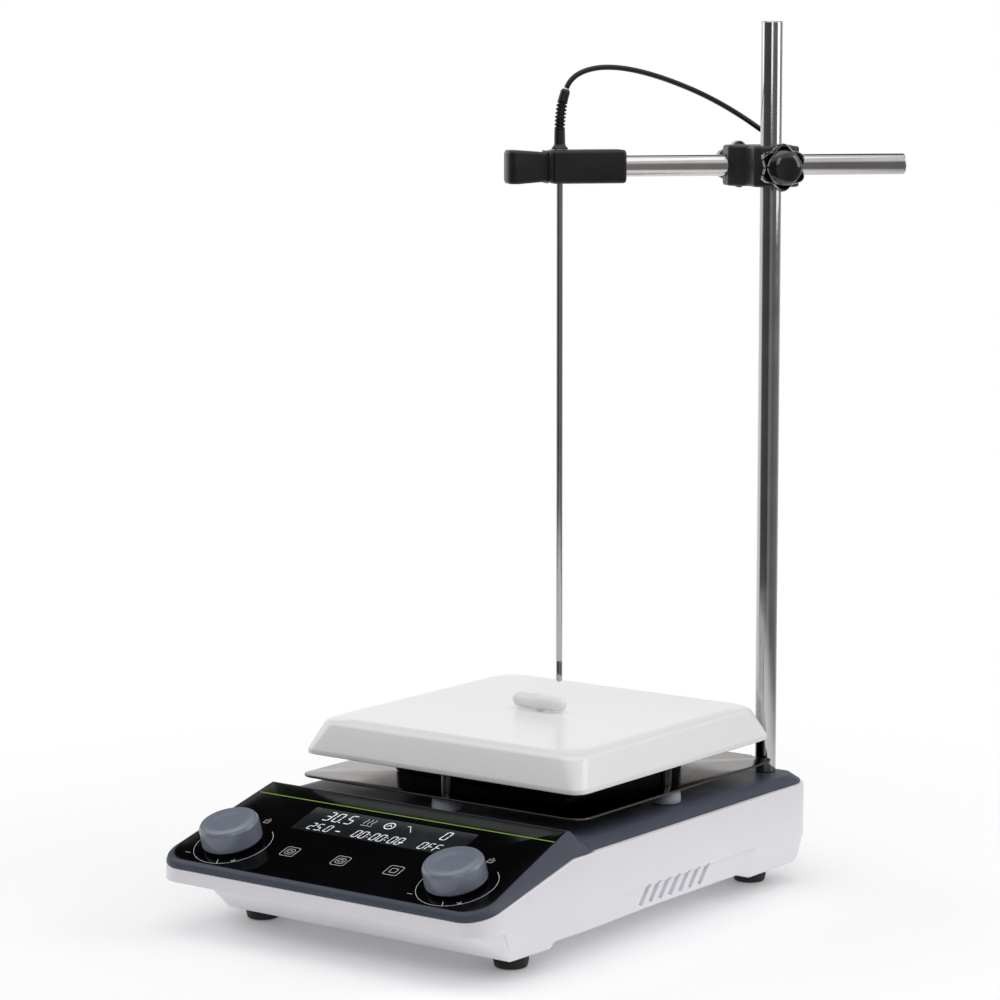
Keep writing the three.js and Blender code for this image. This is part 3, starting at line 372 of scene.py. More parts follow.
def loft(rings):
    """Skin through closed rings with equal numbers of points, closed by flat ends."""
    size = len(rings[0])
    verts = [point for ring in rings for point in ring]
    faces = []
    for s in range(len(rings) - 1):
        for i in range(size):
            j = (i + 1) % size
            faces.append([s * size + i, s * size + j, (s + 1) * size + j, (s + 1) * size + i])
    faces.append(list(range(size))[::-1])
    faces.append(list(range((len(rings) - 1) * size, len(rings) * size)))
    return verts, faces


def outward(piece):
    """Makes the faces of a closed piece point out."""
    mesh = piece.data
    volume = 0.0
    for face in mesh.polygons:
        corners = [mesh.vertices[i].co for i in face.vertices]
        for a, b in zip(corners[1:], corners[2:]):
            volume += corners[0].dot(a.cross(b))
    if volume < 0:
        mesh.flip_normals()
    return piece


def solid(name, shape, place, material, sharp=32):
    return outward(new_piece(name, *shape, place, material, sharp))


def rounded(corners, closed=True, steps=6):
    """2-D outline whose corners (x, y, radius) are turned into arcs of steps + 1 points."""
    points = []
    count = len(corners)
    for i, (x, y, radius) in enumerate(corners):
        here = Vector((x, y))
        if radius <= 0 or (not closed and i in (0, count - 1)):
            points.append(here)
            continue
        before = Vector(corners[i - 1][:2]) - here
        after = Vector(corners[(i + 1) % count][:2]) - here
        half = before.angle(after) / 2
        if half > math.radians(89):
            points += [here.copy() for _ in range(steps + 1)]
            continue
        reach = min(radius / math.tan(half), 0.49 * before.length, 0.49 * after.length)
        radius = reach * math.tan(half)
        bisector = (before.normalized() + after.normalized()).normalized()
        centre = here + bisector * (radius / math.sin(half))
        start = here + before.normalized() * reach - centre
        stop = here + after.normalized() * reach - centre
        turn = math.atan2(start.cross(stop), start.dot(stop))
        points += [centre + Matrix.Rotation(turn * s / steps, 2) @ start for s in range(steps + 1)]
    return points


def rectangle(width, depth, radius):
    x, y = width / 2, depth / 2
    return [(x, y, radius), (-x, y, radius), (-x, -y, radius), (x, -y, radius)]


def prism(outline, z0, z1, edge=0.0, steps=3):
    """Extruded outline (2-D points, counter-clockwise) with rounded top and bottom edges."""
    def inset(amount):
        ring = []
        count = len(outline)
        for i, point in enumerate(outline):
            along = (outline[(i + 1) % count] - outline[i - 1]).normalized()
            ring.append(point + Vector((-along.y, along.x)) * amount)
        return ring

    levels = [(0, z0), (0, z1)]
    if edge:
        arc = [(edge * (1 - math.cos(a)), edge * (1 - math.sin(a)))
               for a in (math.pi / 2 * s / steps for s in range(steps + 1))]
        levels = [(shrink, z0 + rise) for rise, shrink in arc]
        levels += [(shrink, z1 - rise) for rise, shrink in reversed(arc)]
    return loft([[(*p, z) for p in inset(shrink)] for shrink, z in levels])


def plate(name, corners, z0, z1, place, material, edge=0.3, steps=8):
    return solid(name, prism(rounded(corners, steps=steps), z0, z1, edge), place, material)


def turned(corners, arc_steps=4, steps=64):
    """Turned solid from the (radius, z, rounding) corners of its profile."""
    return lathe(rounded(corners, closed=False, steps=arc_steps), steps)


def rounded_end(radius, z, steps):
    """Profile of a half ball that starts at z on the axis."""
    angles = [math.pi / 2 * i / steps for i in range(steps + 1)]
    return [(radius * math.sin(a), z + radius * (1 - math.cos(a))) for a in angles]


def drill(radius, z0, z1, place, steps=48):
    """A cylinder to cut with."""
    return solid("drill", lathe([(0, z0), (radius, z0), (radius, z1), (0, z1)], steps), place, "module")


def block(low, high, place):
    """A box to cut with."""
    corners = rectangle(high[0] - low[0], high[1] - low[1], 0)
    shift = Vector(((low[0] + high[0]) / 2, (low[1] + high[1]) / 2))
    outline = [Vector(c[:2]) + shift for c in corners]
    return solid("block", prism(outline, low[2], high[2]), place, "module")


def along(table, position):
    """Straight-line interpolation through (position, value) pairs."""
    if position <= table[0][0]:
        return table[0][1]
    for (p0, v0), (p1, v1) in zip(table, table[1:]):
        if position <= p1:
            return v0 + (v1 - v0) * (position - p0) / max(p1 - p0, 1e-9)
    return table[-1][1]


def smoothstep(a, b, value):
    """0 up to a, 1 from b, and a smooth rise between them."""
    t = min(1.0, max(0.0, (value - a) / (b - a)))
    return t * t * (3 - 2 * t)


# ---------------------------------------------------------------- camera, light and floor

CAMERA_AT = Vector((931.5, -1279.1, 403.2)) * MM
CAMERA_YAW = math.radians(36.76)
CAMERA_PITCH = math.radians(7.74)
CAMERA_ROLL = math.radians(-0.07)
camera = bpy.data.objects.new("camera", bpy.data.cameras.new("camera"))
bpy.context.scene.collection.objects.link(camera)
camera.data.lens, camera.data.sensor_width = 123.84, 36
camera.data.clip_end = 20
camera.matrix_world = (
    Matrix.Translation(CAMERA_AT)
    @ Matrix.Rotation(CAMERA_YAW, 4, "Z")
    @ Matrix.Rotation(math.pi / 2 - CAMERA_PITCH, 4, "X")
    @ Matrix.Rotation(CAMERA_ROLL, 4, "Z")
)
bpy.context.scene.camera = camera


AIM = Vector((0, 0, 0.15))


def soft_light(name, azimuth, height, distance, size, power):
    """A rectangular soft box that looks at the object; azimuth 0 is in front, 90 on the right."""
    light = bpy.data.lights.new(name, "AREA")
    light.shape, light.size, light.size_y, light.energy = "RECTANGLE", *size, power
    lamp = bpy.data.objects.new(name, light)
    bpy.context.scene.collection.objects.link(lamp)
    angle = math.radians(azimuth)
    lamp.location = (distance * math.sin(angle), -distance * math.cos(angle), height)
    lamp.rotation_mode = "QUATERNION"
    lamp.rotation_quaternion = (AIM - lamp.location).to_track_quat("-Z", "Y")


soft_light("overhead", 10, 1.9, 0.25, (1.6, 1.6), 6.5)
soft_light("right_box", 118, 0.9, 1.6, (1.0, 1.2), 7.5)
soft_light("left_box", -75, 1.0, 1.7, (0.8, 1.0), 3)
soft_light("camera_strip", 40, 1.0, 1.7, (0.5, 0.8), 2.2)

# what surrounds the object: white behind it, darker in front, with azimuths counted from the camera
SURROUNDINGS = [(-180, 1.0), (-104, 1.0), (-88, 0.10), (-14, 0.07), (2, 0.30), (34, 0.16), (104, 0.24),
                (138, 0.60), (180, 1.0)]
SKY = 0.78
SKY_EDGE = 0.30, 0.62
WORLD_SEEN = 1.0
# the flag: where it starts and ends in height, and its sides as shares of a whole turn
FLAG_GREY = 0.01
FLAG_EDGES = (0.36, 0.44), (0.84, 0.76)
FLAG_SIDES = (0.08, 1), (0.14, 0), (0.86, 0), (0.92, 1)


def studio():
    """White to the camera; to the object a bright sky over a band that changes with the azimuth."""
    world = bpy.data.worlds.new("studio")
    bpy.context.scene.world = world
    world.use_nodes = True
    tree = world.node_tree

    def add(kind, **settings):
        node = tree.nodes.new(kind)
        for key, value in settings.items():
            setattr(node, key, value)
        return node

    coordinates = add("ShaderNodeTexCoord")
    turned = add("ShaderNodeMapping", vector_type="VECTOR")
    turned.inputs["Rotation"].default_value = (0, 0, -CAMERA_YAW)
    tree.links.new(coordinates.outputs["Generated"], turned.inputs["Vector"])
    parts = add("ShaderNodeSeparateXYZ")
    tree.links.new(turned.outputs["Vector"], parts.inputs["Vector"])
    flipped = add("ShaderNodeMath", operation="MULTIPLY")
    flipped.inputs[1].default_value = -1
    tree.links.new(parts.outputs["Y"], flipped.inputs[0])
    azimuth = add("ShaderNodeMath", operation="ARCTAN2")
    tree.links.new(parts.outputs["X"], azimuth.inputs[0])
    tree.links.new(flipped.outputs[0], azimuth.inputs[1])
    share = add("ShaderNodeMapRange")
    share.inputs["From Min"].default_value, share.inputs["From Max"].default_value = -math.pi, math.pi
    tree.links.new(azimuth.outputs[0], share.inputs["Value"])
    ramp = add("ShaderNodeValToRGB")
    elements = ramp.color_ramp.elements
    while len(elements) < len(SURROUNDINGS):
        elements.new(0.5)
    for element, (angle, level) in zip(elements, SURROUNDINGS):
        element.position, element.color = (angle + 180) / 360, (level, level, level, 1)
    tree.links.new(share.outputs["Result"], ramp.inputs["Fac"])
    above = add("ShaderNodeMapRange", interpolation_type="SMOOTHSTEP")
    above.inputs["From Min"].default_value, above.inputs["From Max"].default_value = SKY_EDGE
    tree.links.new(parts.outputs["Z"], above.inputs["Value"])
    sky = add("ShaderNodeMix", data_type="RGBA")
    sky.inputs["B"].default_value = (SKY, SKY, SKY, 1)
    tree.links.new(above.outputs["Result"], sky.inputs["Factor"])
    tree.links.new(ramp.outputs["Color"], sky.inputs["A"])
    # a black flag stands behind, at the height that the glossy control panel reflects
    low_edge, high_edge = add("ShaderNodeMapRange"), add("ShaderNodeMapRange")
    for ranged, (start, stop) in zip((low_edge, high_edge), FLAG_EDGES):
        ranged.inputs["From Min"].default_value, ranged.inputs["From Max"].default_value = start, stop
        tree.links.new(parts.outputs["Z"], ranged.inputs["Value"])
    behind = add("ShaderNodeValToRGB")
    for element, (position, level) in zip(behind.color_ramp.elements, FLAG_SIDES[:2]):
        element.position, element.color = position, (level, level, level, 1)
    for position, level in FLAG_SIDES[2:]:
        behind.color_ramp.elements.new(position).color = (level, level, level, 1)
    tree.links.new(share.outputs["Result"], behind.inputs["Fac"])
    masks = [low_edge.outputs["Result"], high_edge.outputs["Result"], behind.outputs["Color"]]
    product = masks[0]
    for mask in masks[1:]:
        both = add("ShaderNodeMath", operation="MULTIPLY")
        tree.links.new(product, both.inputs[0])
        tree.links.new(mask, both.inputs[1])
        product = both.outputs[0]
    flagged = add("ShaderNodeMix", data_type="RGBA")
    flagged.inputs["B"].default_value = (FLAG_GREY, FLAG_GREY, FLAG_GREY, 1)
    tree.links.new(product, flagged.inputs["Factor"])
    tree.links.new(sky.outputs["Result"], flagged.inputs["A"])
    ray = add("ShaderNodeLightPath")
    seen = add("ShaderNodeMix", data_type="RGBA")
    seen.inputs["B"].default_value = (WORLD_SEEN, WORLD_SEEN, WORLD_SEEN, 1)
    tree.links.new(ray.outputs["Is Camera Ray"], seen.inputs["Factor"])
    tree.links.new(flagged.outputs["Result"], seen.inputs["A"])
    tree.links.new(seen.outputs["Result"], tree.nodes["Background"].inputs["Color"])


studio()
bpy.context.scene.view_settings.view_transform = "Standard"

# the floor runs far behind the object and a little way in front of it
FLOOR_HALF, FLOOR_FRONT, FLOOR_BACK = 2500, -800, 3000
FLOOR_Z = -0.2
floor_corners = ((-FLOOR_HALF, FLOOR_FRONT), (FLOOR_HALF, FLOOR_FRONT), (FLOOR_HALF, FLOOR_BACK),
                 (-FLOOR_HALF, FLOOR_BACK))
floor = new_piece(
    "floor",
    [(x, y, FLOOR_Z) for x, y in floor_corners],
    [[0, 1, 2, 3]],
    Matrix.Rotation(CAMERA_YAW, 4, "Z") @ Matrix.Scale(MM, 4),
    "floor",
)

# ---------------------------------------------------------------- the probe's lead

LEAD_R = 1.25
PROBE_X = (middle("probe_tube") - rod_axis).dot(arm_along) / MM
RELIEF_TOP_Z = 377.0
# which of the points below end a stretch of the lead
SPLIT_AB, SPLIT_BC, SPLIT_CD = 6, 9, 13
LEAD_OVER = [
    (PROBE_X + 3.15, 12, RELIEF_TOP_Z + 0.4), (PROBE_X + 4.6, 12, 380.1), (-91.0, 12, 383.2),
    (-86.0, 12, 385.6), (-79.2, 12.1, 386.9), (-71.0, 12.4, 386.8), (-62.0, 12.9, 385.4),
    (-52.0, 13.5, 382.8), (-41.5, 14.2, 379.2), (-30.5, 15, 374.7), (-19.5, 15.6, 369.2),
    (-9.0, 15.8, 363.0), (0.2, 16.2, 356.9), (5.6, 17.4, 353.6), (8.9, 19.6, 351.2),
    (10.0, 21.9, 347.4), (9.4, 22.7, 341), (7.6, 22.8, 332), (6.2, 22.6, 324), (5.6, 22.4, 314),
    (5.5, 22.4, 300),
]
# down the back of the rod
DROP = (5.5, 22.4)
DROP_END_Z = 120
drop_foot = HOUSING.inverted() @ (STAND @ Vector((*DROP, 0)))
FLOOR_LEAD_Z = LEAD_R + 0.3
COIL_AT = Vector((-10, 118, 0))
COIL_OUT, COIL_IN = 17.5, 12.5
COIL_TURNS = 4.5
LAYER_TURNS = 2.0
COIL_STEPS = 48
UPPER_Z = FLOOR_LEAD_Z + 2.6
LEAD_BENCH = [(0, 0, DROP_END_Z), (0, 0, 90), (0, 0, 60), (0, 0, 34), (-0.1, 0, 20), (-1.6, 0, 11),
              (-5.4, -0.1, 4.6), (-11.4, -0.4, FLOOR_LEAD_Z), (-20.0, -1.2, FLOOR_LEAD_Z),
              (-34.0, -3.2, FLOOR_LEAD_Z)]
SOCKET = local_middle("lead_plug")
TAIL_START = local_box("lead_plug")[1].y - 0.6
REAR_PART_Z = SOCKET.z
LEAD_TAIL = [
    (-15.4, 11.4, FLOOR_LEAD_Z + 0.2), (-8.6, 14, REAR_PART_Z - 31.2), (-3.8, 14.6, REAR_PART_Z - 25),
    (-1.4, 14.6, REAR_PART_Z - 17), (-0.3, 13, REAR_PART_Z - 9.5), (0, 9.5, REAR_PART_Z - 4),
    (0, 4.5, REAR_PART_Z - 0.7), (0, 0, REAR_PART_Z),
]


def smooth_path(points, spacing=1.2):
    """Centripetal Catmull-Rom curve through the points, sampled about every spacing millimetres."""
    points = [Vector(p) for p in points]
    ends = [2 * points[0] - points[1], *points, 2 * points[-1] - points[-2]]
    path, marks = [], []
    for p0, p1, p2, p3 in zip(ends, ends[1:], ends[2:], ends[3:]):
        t1 = (p1 - p0).length ** 0.5
        t2 = t1 + (p2 - p1).length ** 0.5
        t3 = t2 + (p3 - p2).length ** 0.5
        steps = max(2, round((p2 - p1).length / spacing))
        marks.append(len(path))
        for s in range(steps):
            t = t1 + (t2 - t1) * s / steps
            a1 = p0.lerp(p1, t / t1)
            a2 = p1.lerp(p2, (t - t1) / (t2 - t1))
            a3 = p2.lerp(p3, (t - t2) / (t3 - t2))
            b1 = a1.lerp(a2, t / t2)
            b2 = a2.lerp(a3, (t - t1) / (t3 - t1))
            path.append(b1.lerp(b2, (t - t1) / (t2 - t1)))
    marks.append(len(path))
    path.append(points[-1])
    return path, marks


def tube(path, radius, sides=16):
    """Rings of a tube along a path, square to it and without twist."""
    rings = []
    side = None
    for i, point in enumerate(path):
        ahead = (path[min(i + 1, len(path) - 1)] - path[max(i - 1, 0)]).normalized()
        if side is None:
            side = ahead.orthogonal().normalized()
        side = (side - ahead * side.dot(ahead)).normalized()
        up = ahead.cross(side)
        size = radius(i) if callable(radius) else radius
        rings.append([
            point + (side * math.cos(TURN * k / sides) + up * math.sin(TURN * k / sides)) * size
            for k in range(sides)
        ])
    return loft(rings)


def lead(name, path, place, bodies, nodes, with_pieces=()):
    """One stretch of the lead: it rides on one body, or is baked in place between the bodies at its ends.
    """
    piece = solid(name, tube(path, LEAD_R), place, "lead")
    if len(bodies) == 1:
        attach(piece, bodies[0])
    else:
        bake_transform(piece)
    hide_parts(*nodes)
    return piece


over_path, over_marks = smooth_path([*LEAD_OVER, (*DROP, 240), (*DROP, 180), (*DROP, DROP_END_Z)])
for name, first, last, bodies, nodes in (
    ("lead_from_probe", 0, over_marks[SPLIT_AB], ("probe", "holder"), ["lead_arch_a"]),
    ("lead_arch", over_marks[SPLIT_AB], over_marks[SPLIT_BC], ("holder", "arm"), ["lead_arch_b"]),
    ("lead_to_clamp", over_marks[SPLIT_BC], over_marks[SPLIT_CD], ("arm", "boss"), ["lead_arch_c"]),
    ("lead_down_rod", over_marks[SPLIT_CD], len(over_path) - 1, ("boss", "stand"),
     ["lead_over_clamp", "lead_drop"]),
):
    lead(name, over_path[first:last + 1], STAND, bodies, nodes)


def coil_path():
    """Two turns inward on the bench, half a turn that climbs, and two turns outward on top of them."""
    path = []
    steps = round(COIL_TURNS * COIL_STEPS)
    for i in range(steps + 1):
        t = COIL_TURNS * i / steps
        inward = COIL_OUT - (COIL_OUT - COIL_IN) * t / LAYER_TURNS
        outgoing = COIL_OUT - (COIL_OUT - COIL_IN) * (COIL_TURNS - t) / LAYER_TURNS
        radius = max(COIL_IN, inward if t < COIL_TURNS / 2 else outgoing)
        climbed = smoothstep(LAYER_TURNS, COIL_TURNS - LAYER_TURNS, t)
        z = FLOOR_LEAD_Z + (UPPER_Z - FLOOR_LEAD_Z) * climbed
        angle = -math.pi / 2 - TURN * t
        path.append(COIL_AT + Vector((radius * math.cos(angle), radius * math.sin(angle), z)))
    return path


bench_points = [Vector((drop_foot.x + x, drop_foot.y + y, z)) for x, y, z in LEAD_BENCH]
side_in = COIL_AT.y - COIL_OUT
bench_points += [Vector((COIL_AT.x + x, side_in - y, FLOOR_LEAD_Z))
                 for x, y in ((22, 0.3), (16, 0), (8, 0), (0, 0))]
lead("lead_to_bench", smooth_path(bench_points)[0], HOUSING, ("stand", "base"), ["lead_bench"])

side_out = COIL_AT.y + COIL_OUT
tail_points = [Vector((COIL_AT.x + x, side_out + y, z))
               for x, y, z in ((0, 0, UPPER_Z), (6, 0, UPPER_Z), (11, 0, UPPER_Z - 0.4),
                               (15, 0.4, FLOOR_LEAD_Z + 1.3))]
tail_points += [Vector((SOCKET.x + x, TAIL_START + y, z)) for x, y, z in LEAD_TAIL]


def plug():
    """Moulded plug with a knurled grip and a stepped sleeve."""
    low, high = local_box("lead_plug")
    length = high.y - low.y
    profile = [(0, 0), (3.6, 0), (4, 0.5), (4, 9), (5.3, 9), (5.8, 9.5)]
    for i in range(6):
        profile += [(5.8, 10.3 + 1.4 * i), (5.45, 10.6 + 1.4 * i), (5.45, 11.1 + 1.4 * i),
                    (5.8, 11.4 + 1.4 * i)]
    profile += [(5.8, 19), (5.2, 20.6), (4.4, 21.6), (2.8, 22.8), (2.4, 24)]
    for i in range(3):
        profile += [(2.4, 24.6 + 2 * i), (2.0, 24.9 + 2 * i), (2.0, 25.4 + 2 * i), (2.4, 25.7 + 2 * i)]
    profile += [(2.1, length - 0.2), (1.8, length), (0, length)]
    place = turned_frame(HOUSING, (SOCKET.x, low.y, SOCKET.z), (0, 0, 1), (1, 0, 0))
    return fit(solid("plug", lathe(profile, 48), place, "module"), "base", "connector", "lead_plug")


lead("lead_coil_and_tail", coil_path() + smooth_path(tail_points)[0][1:], HOUSING, ("base",),
     ["lead_coil", "lead_tail"], with_pieces=[plug()])

# ---------------------------------------------------------------- housing

body_low, body_high = local_box("base_body")
HALF_WIDTH, SEAM_Z, FOOT_ZONE_Z = body_high.x, body_high.z, body_low.z
FRONT_Y, REAR_Y = body_low.y, body_high.y
TAPER_START_Y = -104.0
FRONT_TAPER = 2.8
FRONT_CORNER, REAR_CORNER = 13.0, 14.0
FRONT_SEAM_Z = 31.0
SKIRT_Z = 12.9
CREASE_Z = 25.0
LEAN = 3.6
WALL = 2.5
GAP = 0.3
CREST_Y, CREST_Z = (HOUSING.inverted() @ panel_crest).yz
DECK_Z, DECK_HALF, DECK_FRONT_Y = 51.3, 84.5, -86.0
PANEL_LENGTH, PANEL_HALF_TOP, PANEL_HALF_FRONT, PANEL_CORNER = 74.5, 83.9, 90.1, 12.0
RECESS = 1.8


def half_width(y, inset=0.0, taper=FRONT_TAPER):
    """Half width of the housing at y, for an outline moved inward by inset."""
    width = HALF_WIDTH - inset - taper * max(0.0, TAPER_START_Y - y) / (TAPER_START_Y - FRONT_Y)
    for corner, into in ((FRONT_CORNER, FRONT_Y + FRONT_CORNER - y),
                         (REAR_CORNER, y - REAR_Y + REAR_CORNER)):
        if into > 0:
            radius = corner - inset
            width -= radius - math.sqrt(max(0.0, radius ** 2 - into ** 2))
    return width


def stations(inset, tables, pitch=6.0):
    """Places along y for the sections: dense round the corners and at every bend of the tables."""
    marks = {TAPER_START_Y}
    for step in range(13):
        angle = math.pi / 2 * step / 12
        marks.add(FRONT_Y + FRONT_CORNER - (FRONT_CORNER - inset) * math.cos(angle))
        marks.add(REAR_Y - REAR_CORNER + (REAR_CORNER - inset) * math.cos(angle))
    marks.update(y for table in tables for y, _ in table)
    marks.update(FRONT_Y + pitch * i for i in range(int((REAR_Y - FRONT_Y) / pitch)))
    inside = sorted(y for y in marks if FRONT_Y + inset <= y <= REAR_Y - inset)
    return [y for y, after in zip(inside, inside[1:] + [1e9]) if after - y > 0.05]


def eased(table, radius):
    """A table of straight lines with its bends rounded."""
    return [tuple(p) for p in rounded([(*p, radius) for p in table], closed=False, steps=4)]


SEAM = eased([(FRONT_Y, FRONT_SEAM_Z), (TAPER_START_Y, SEAM_Z), (REAR_Y, SEAM_Z)], 12)
UNDERSIDE = eased([(FRONT_Y, FOOT_ZONE_Z), (-117, FOOT_ZONE_Z), (-114.3, SKIRT_Z), (33.5, SKIRT_Z),
                   (42, FOOT_ZONE_Z), (80, FOOT_ZONE_Z), (86.5, 12.5), (90.5, 17), (REAR_Y, 24)], 2.5)
BAND_FRONT_Y, BAND_REAR_Y = -92.0, 38.0
BAND_DEPTH = 1.5
BAND_RUN_IN, BAND_RUN_OUT = 60, 1.5


def lower_section(y, inset=0.0):
    """Closed section of the lower housing: upright side, crease, sunk band and a side that leans in."""
    top, bottom = along(SEAM, y), along(UNDERSIDE, y)
    crease = max(CREASE_Z, bottom + 1.2)
    lean = LEAN * (CREASE_Z - bottom) / (CREASE_Z - FOOT_ZONE_Z) if bottom < CREASE_Z else 0.0
    wide = half_width(y, inset)
    sunk = BAND_DEPTH * smoothstep(BAND_FRONT_Y, BAND_FRONT_Y + BAND_RUN_IN, y)
    sunk *= 1 - smoothstep(BAND_REAR_Y - BAND_RUN_OUT, BAND_REAR_Y, y)
    below = crease - 0.9
    shelf = wide - sunk - 0.25 * lean / max(1, crease - bottom)
    side = [(wide, top, 0.5), (wide, crease, 3.0), (shelf, below, 0.4), (wide - lean - sunk, bottom, 1.6)]
    corners = side + [(-x, z, r) for x, z, r in reversed(side)]
    return [(p.x, y, p.y) for p in rounded(corners, steps=4)]


# the hollow inside, over the undercut front
CAVITY_SIDE = 5.5
CAVITY_FLOOR = [(FRONT_Y, 32), (-166.5, 30), (-140, SKIRT_Z + WALL + GAP)]

# the skirt is undercut at the front: toward the bench its front edge steps back and its corners tighten
UNDERCUT_TOP_Z = 24.8
UNDERCUT_TOP = {"z": UNDERCUT_TOP_Z, "y": -166.0, "radius": 13.0, "side": 92.6}
UNDERCUT_FOOT = {"z": FOOT_ZONE_Z - 1, "y": -142.0, "radius": 0.8, "side": 89.8}
FAR = 400.0

# and cut away on the slant under its left front corner
SLANT_TOP, SLANT_FOOT = Vector((-62.3, -164.0)), Vector((-69.5, -143.6))
SLANT_ALONG, SLANT_OUT = Vector((-0.643, 0.766)), Vector((-0.766, -0.643))
SLANT_REACH = 60.0


def front_undercut():
    """The space in front of the skirt's front, which steps back toward the bench."""
    rings = []
    for level in (UNDERCUT_FOOT, UNDERCUT_TOP):
        z, y, radius, side = (level[key] for key in ("z", "y", "radius", "side"))
        ring = [(0, -FAR, z), (FAR, -FAR, z), (FAR, y + radius, z)]
        for sign in (1, -1):
            for step in range(13):
                angle = math.pi / 2 * (step / 12 if sign > 0 else 1 - step / 12)
                ring.append((sign * (side - radius + radius * math.cos(angle)),
                             y + radius - radius * math.sin(angle), z))
        rings.append(ring + [(-FAR, y + radius, z), (-FAR, -FAR, z)])
    return solid("undercut", loft(rings), HOUSING, "shell")


def slant_cut(wall):
    """The space beside the slanted corner; wall thickens it, for the hollows that stay clear of it."""
    rings = []
    for share in (-1, 1):
        z = FOOT_ZONE_Z + share * (UNDERCUT_TOP_Z - FOOT_ZONE_Z) + wall
        edge = SLANT_FOOT.lerp(SLANT_TOP, share) - SLANT_OUT * wall
        near, far = SLANT_ALONG * -SLANT_REACH, SLANT_ALONG * SLANT_REACH
        out = SLANT_OUT * SLANT_REACH
        rings.append([(*(edge + step), z) for step in (near, far, far + out, near + out)])
    return solid("slant", loft(rings), HOUSING, "shell")


def lower_housing():
    """White shell: hollow, undercut and slanted in front, with louvres and rear openings."""
    sections = [lower_section(y) for y in stations(0, (SEAM, UNDERSIDE))]
    body = solid("lower_housing", loft(sections), HOUSING, "shell")
    cavity_rings = []
    for y in stations(WALL, (SEAM, CAVITY_FLOOR)):
        wide = half_width(y, WALL) - CAVITY_SIDE
        floor_z = along(CAVITY_FLOOR, y)
        sides = ((-wide, floor_z), (wide, floor_z), (wide, SEAM_Z + 4), (-wide, SEAM_Z + 4))
        cavity_rings.append([(x, y, z) for x, z in sides])
    cavity = carve(solid("cavity", loft(cavity_rings), HOUSING, "shell"), [slant_cut(WALL)])
    feet_outline = rounded([(x, y + RECESS_Y, r) for x, y, r in rectangle(*RECESS_SIZE, 8)], steps=3)
    recess = solid("feet_recess", prism(feet_outline, 0, SKIRT_Z + GAP), HOUSING, "shell")
    cutters = [cavity, carve(recess, [slant_cut(WALL)]), front_undercut(), slant_cut(0)]
    for side in (-1, 1):
        for i in range(VENTS):
            middle_of_side = (side * (HALF_WIDTH - BAND_DEPTH), VENT_START_Y + VENT_PITCH * i, CREASE_Z)
            place = HOUSING @ Matrix.Translation(middle_of_side)
            place = place @ Matrix.Rotation(side * SIDE_LEAN, 4, "Y") @ VENT_SLANT
            start, stop = sorted((-VENT_DEPTH * side, VENT_REACH * side))
            cutters.append(block((start, -VENT_WIDTH / 2, -VENT_HEIGHT),
                                 (stop, VENT_WIDTH / 2, VENT_RISE), place))
    for x, half_x, half_z in ((INLET_X, 14.5, 10.5), (SWITCH_X, 7, 10)):
        cutters.append(block((x - half_x, REAR_Y - 7, REAR_PART_Z - half_z),
                             (x + half_x, REAR_Y + 7, REAR_PART_Z + half_z), HOUSING))
    through_rear = turned_frame(HOUSING, (SOCKET.x, REAR_Y, REAR_PART_Z), (0, 0, 1), (1, 0, 0))
    cutters.append(drill(SOCKET_HOLE_R, -8, 8, through_rear))
    carve(body, cutters)
    fit(bevel(body, 0.35), "base", "shell", "base_body")


# louvres in the sunk band: shallow grooves that lean forward
VENTS, VENT_START_Y, VENT_PITCH = 7, -46, 8.0
VENT_DEPTH, VENT_REACH = 1.7, 6
VENT_WIDTH, VENT_HEIGHT, VENT_RISE = 3.6, 10, 0.6
VENT_SLANT = Matrix.Rotation(-0.35, 4, "X")
SIDE_LEAN = math.atan2(LEAN, CREASE_Z - FOOT_ZONE_Z)
RECESS_SIZE, RECESS_Y = (170, 225), -27.5
INLET_X, SWITCH_X = local_middle("mains_inlet").x, local_middle("switch_frame").x
SOCKET_HOLE_R = 6.3
lower_housing()

COVER_TOP = eased([(FRONT_Y, 32.6), (FRONT_Y + 0.6, 34), (FRONT_Y + 1.9, 35.1), (CREST_Y, CREST_Z),
                   (CREST_Y + 0.9, CREST_Z), (DECK_FRONT_Y, DECK_Z), (REAR_Y - 0.6, DECK_Z),
                   (REAR_Y, DECK_Z - 0.8)], 1.2)
COVER_HALF = eased([(FRONT_Y, PANEL_HALF_FRONT + 1), (CREST_Y, PANEL_HALF_TOP + 1),
                    (DECK_FRONT_Y, DECK_HALF), (60, DECK_HALF), (REAR_Y, DECK_HALF + 3)], 4)


def cover_section(y, inset, drop, edge):
    """Trapezoid: wide along the seam and narrow along the top edge."""
    seam = along(SEAM, y) + GAP - (4 if inset else 0)
    wide = half_width(y, inset)
    lost_to_corner = HALF_WIDTH - half_width(y, 0, 0)
    narrow = min(wide - 0.4, along(COVER_HALF, y) - inset - 0.8 * lost_to_corner)
    top = max(along(COVER_TOP, y) - drop, seam + 0.5)
    corners = [(-wide, seam, edge), (wide, seam, edge), (narrow, top, 2 * edge), (-narrow, top, 2 * edge)]
    return [(p.x, y, p.y) for p in rounded(corners, steps=3)]


def panel_corners(inset, corner=PANEL_CORNER):
    top, front, far = PANEL_HALF_TOP - inset, PANEL_HALF_FRONT - inset, -PANEL_LENGTH + inset
    return [(top, -inset, 0.6), (-top, -inset, 0.6), (-front, far, corner), (front, far, corner)]


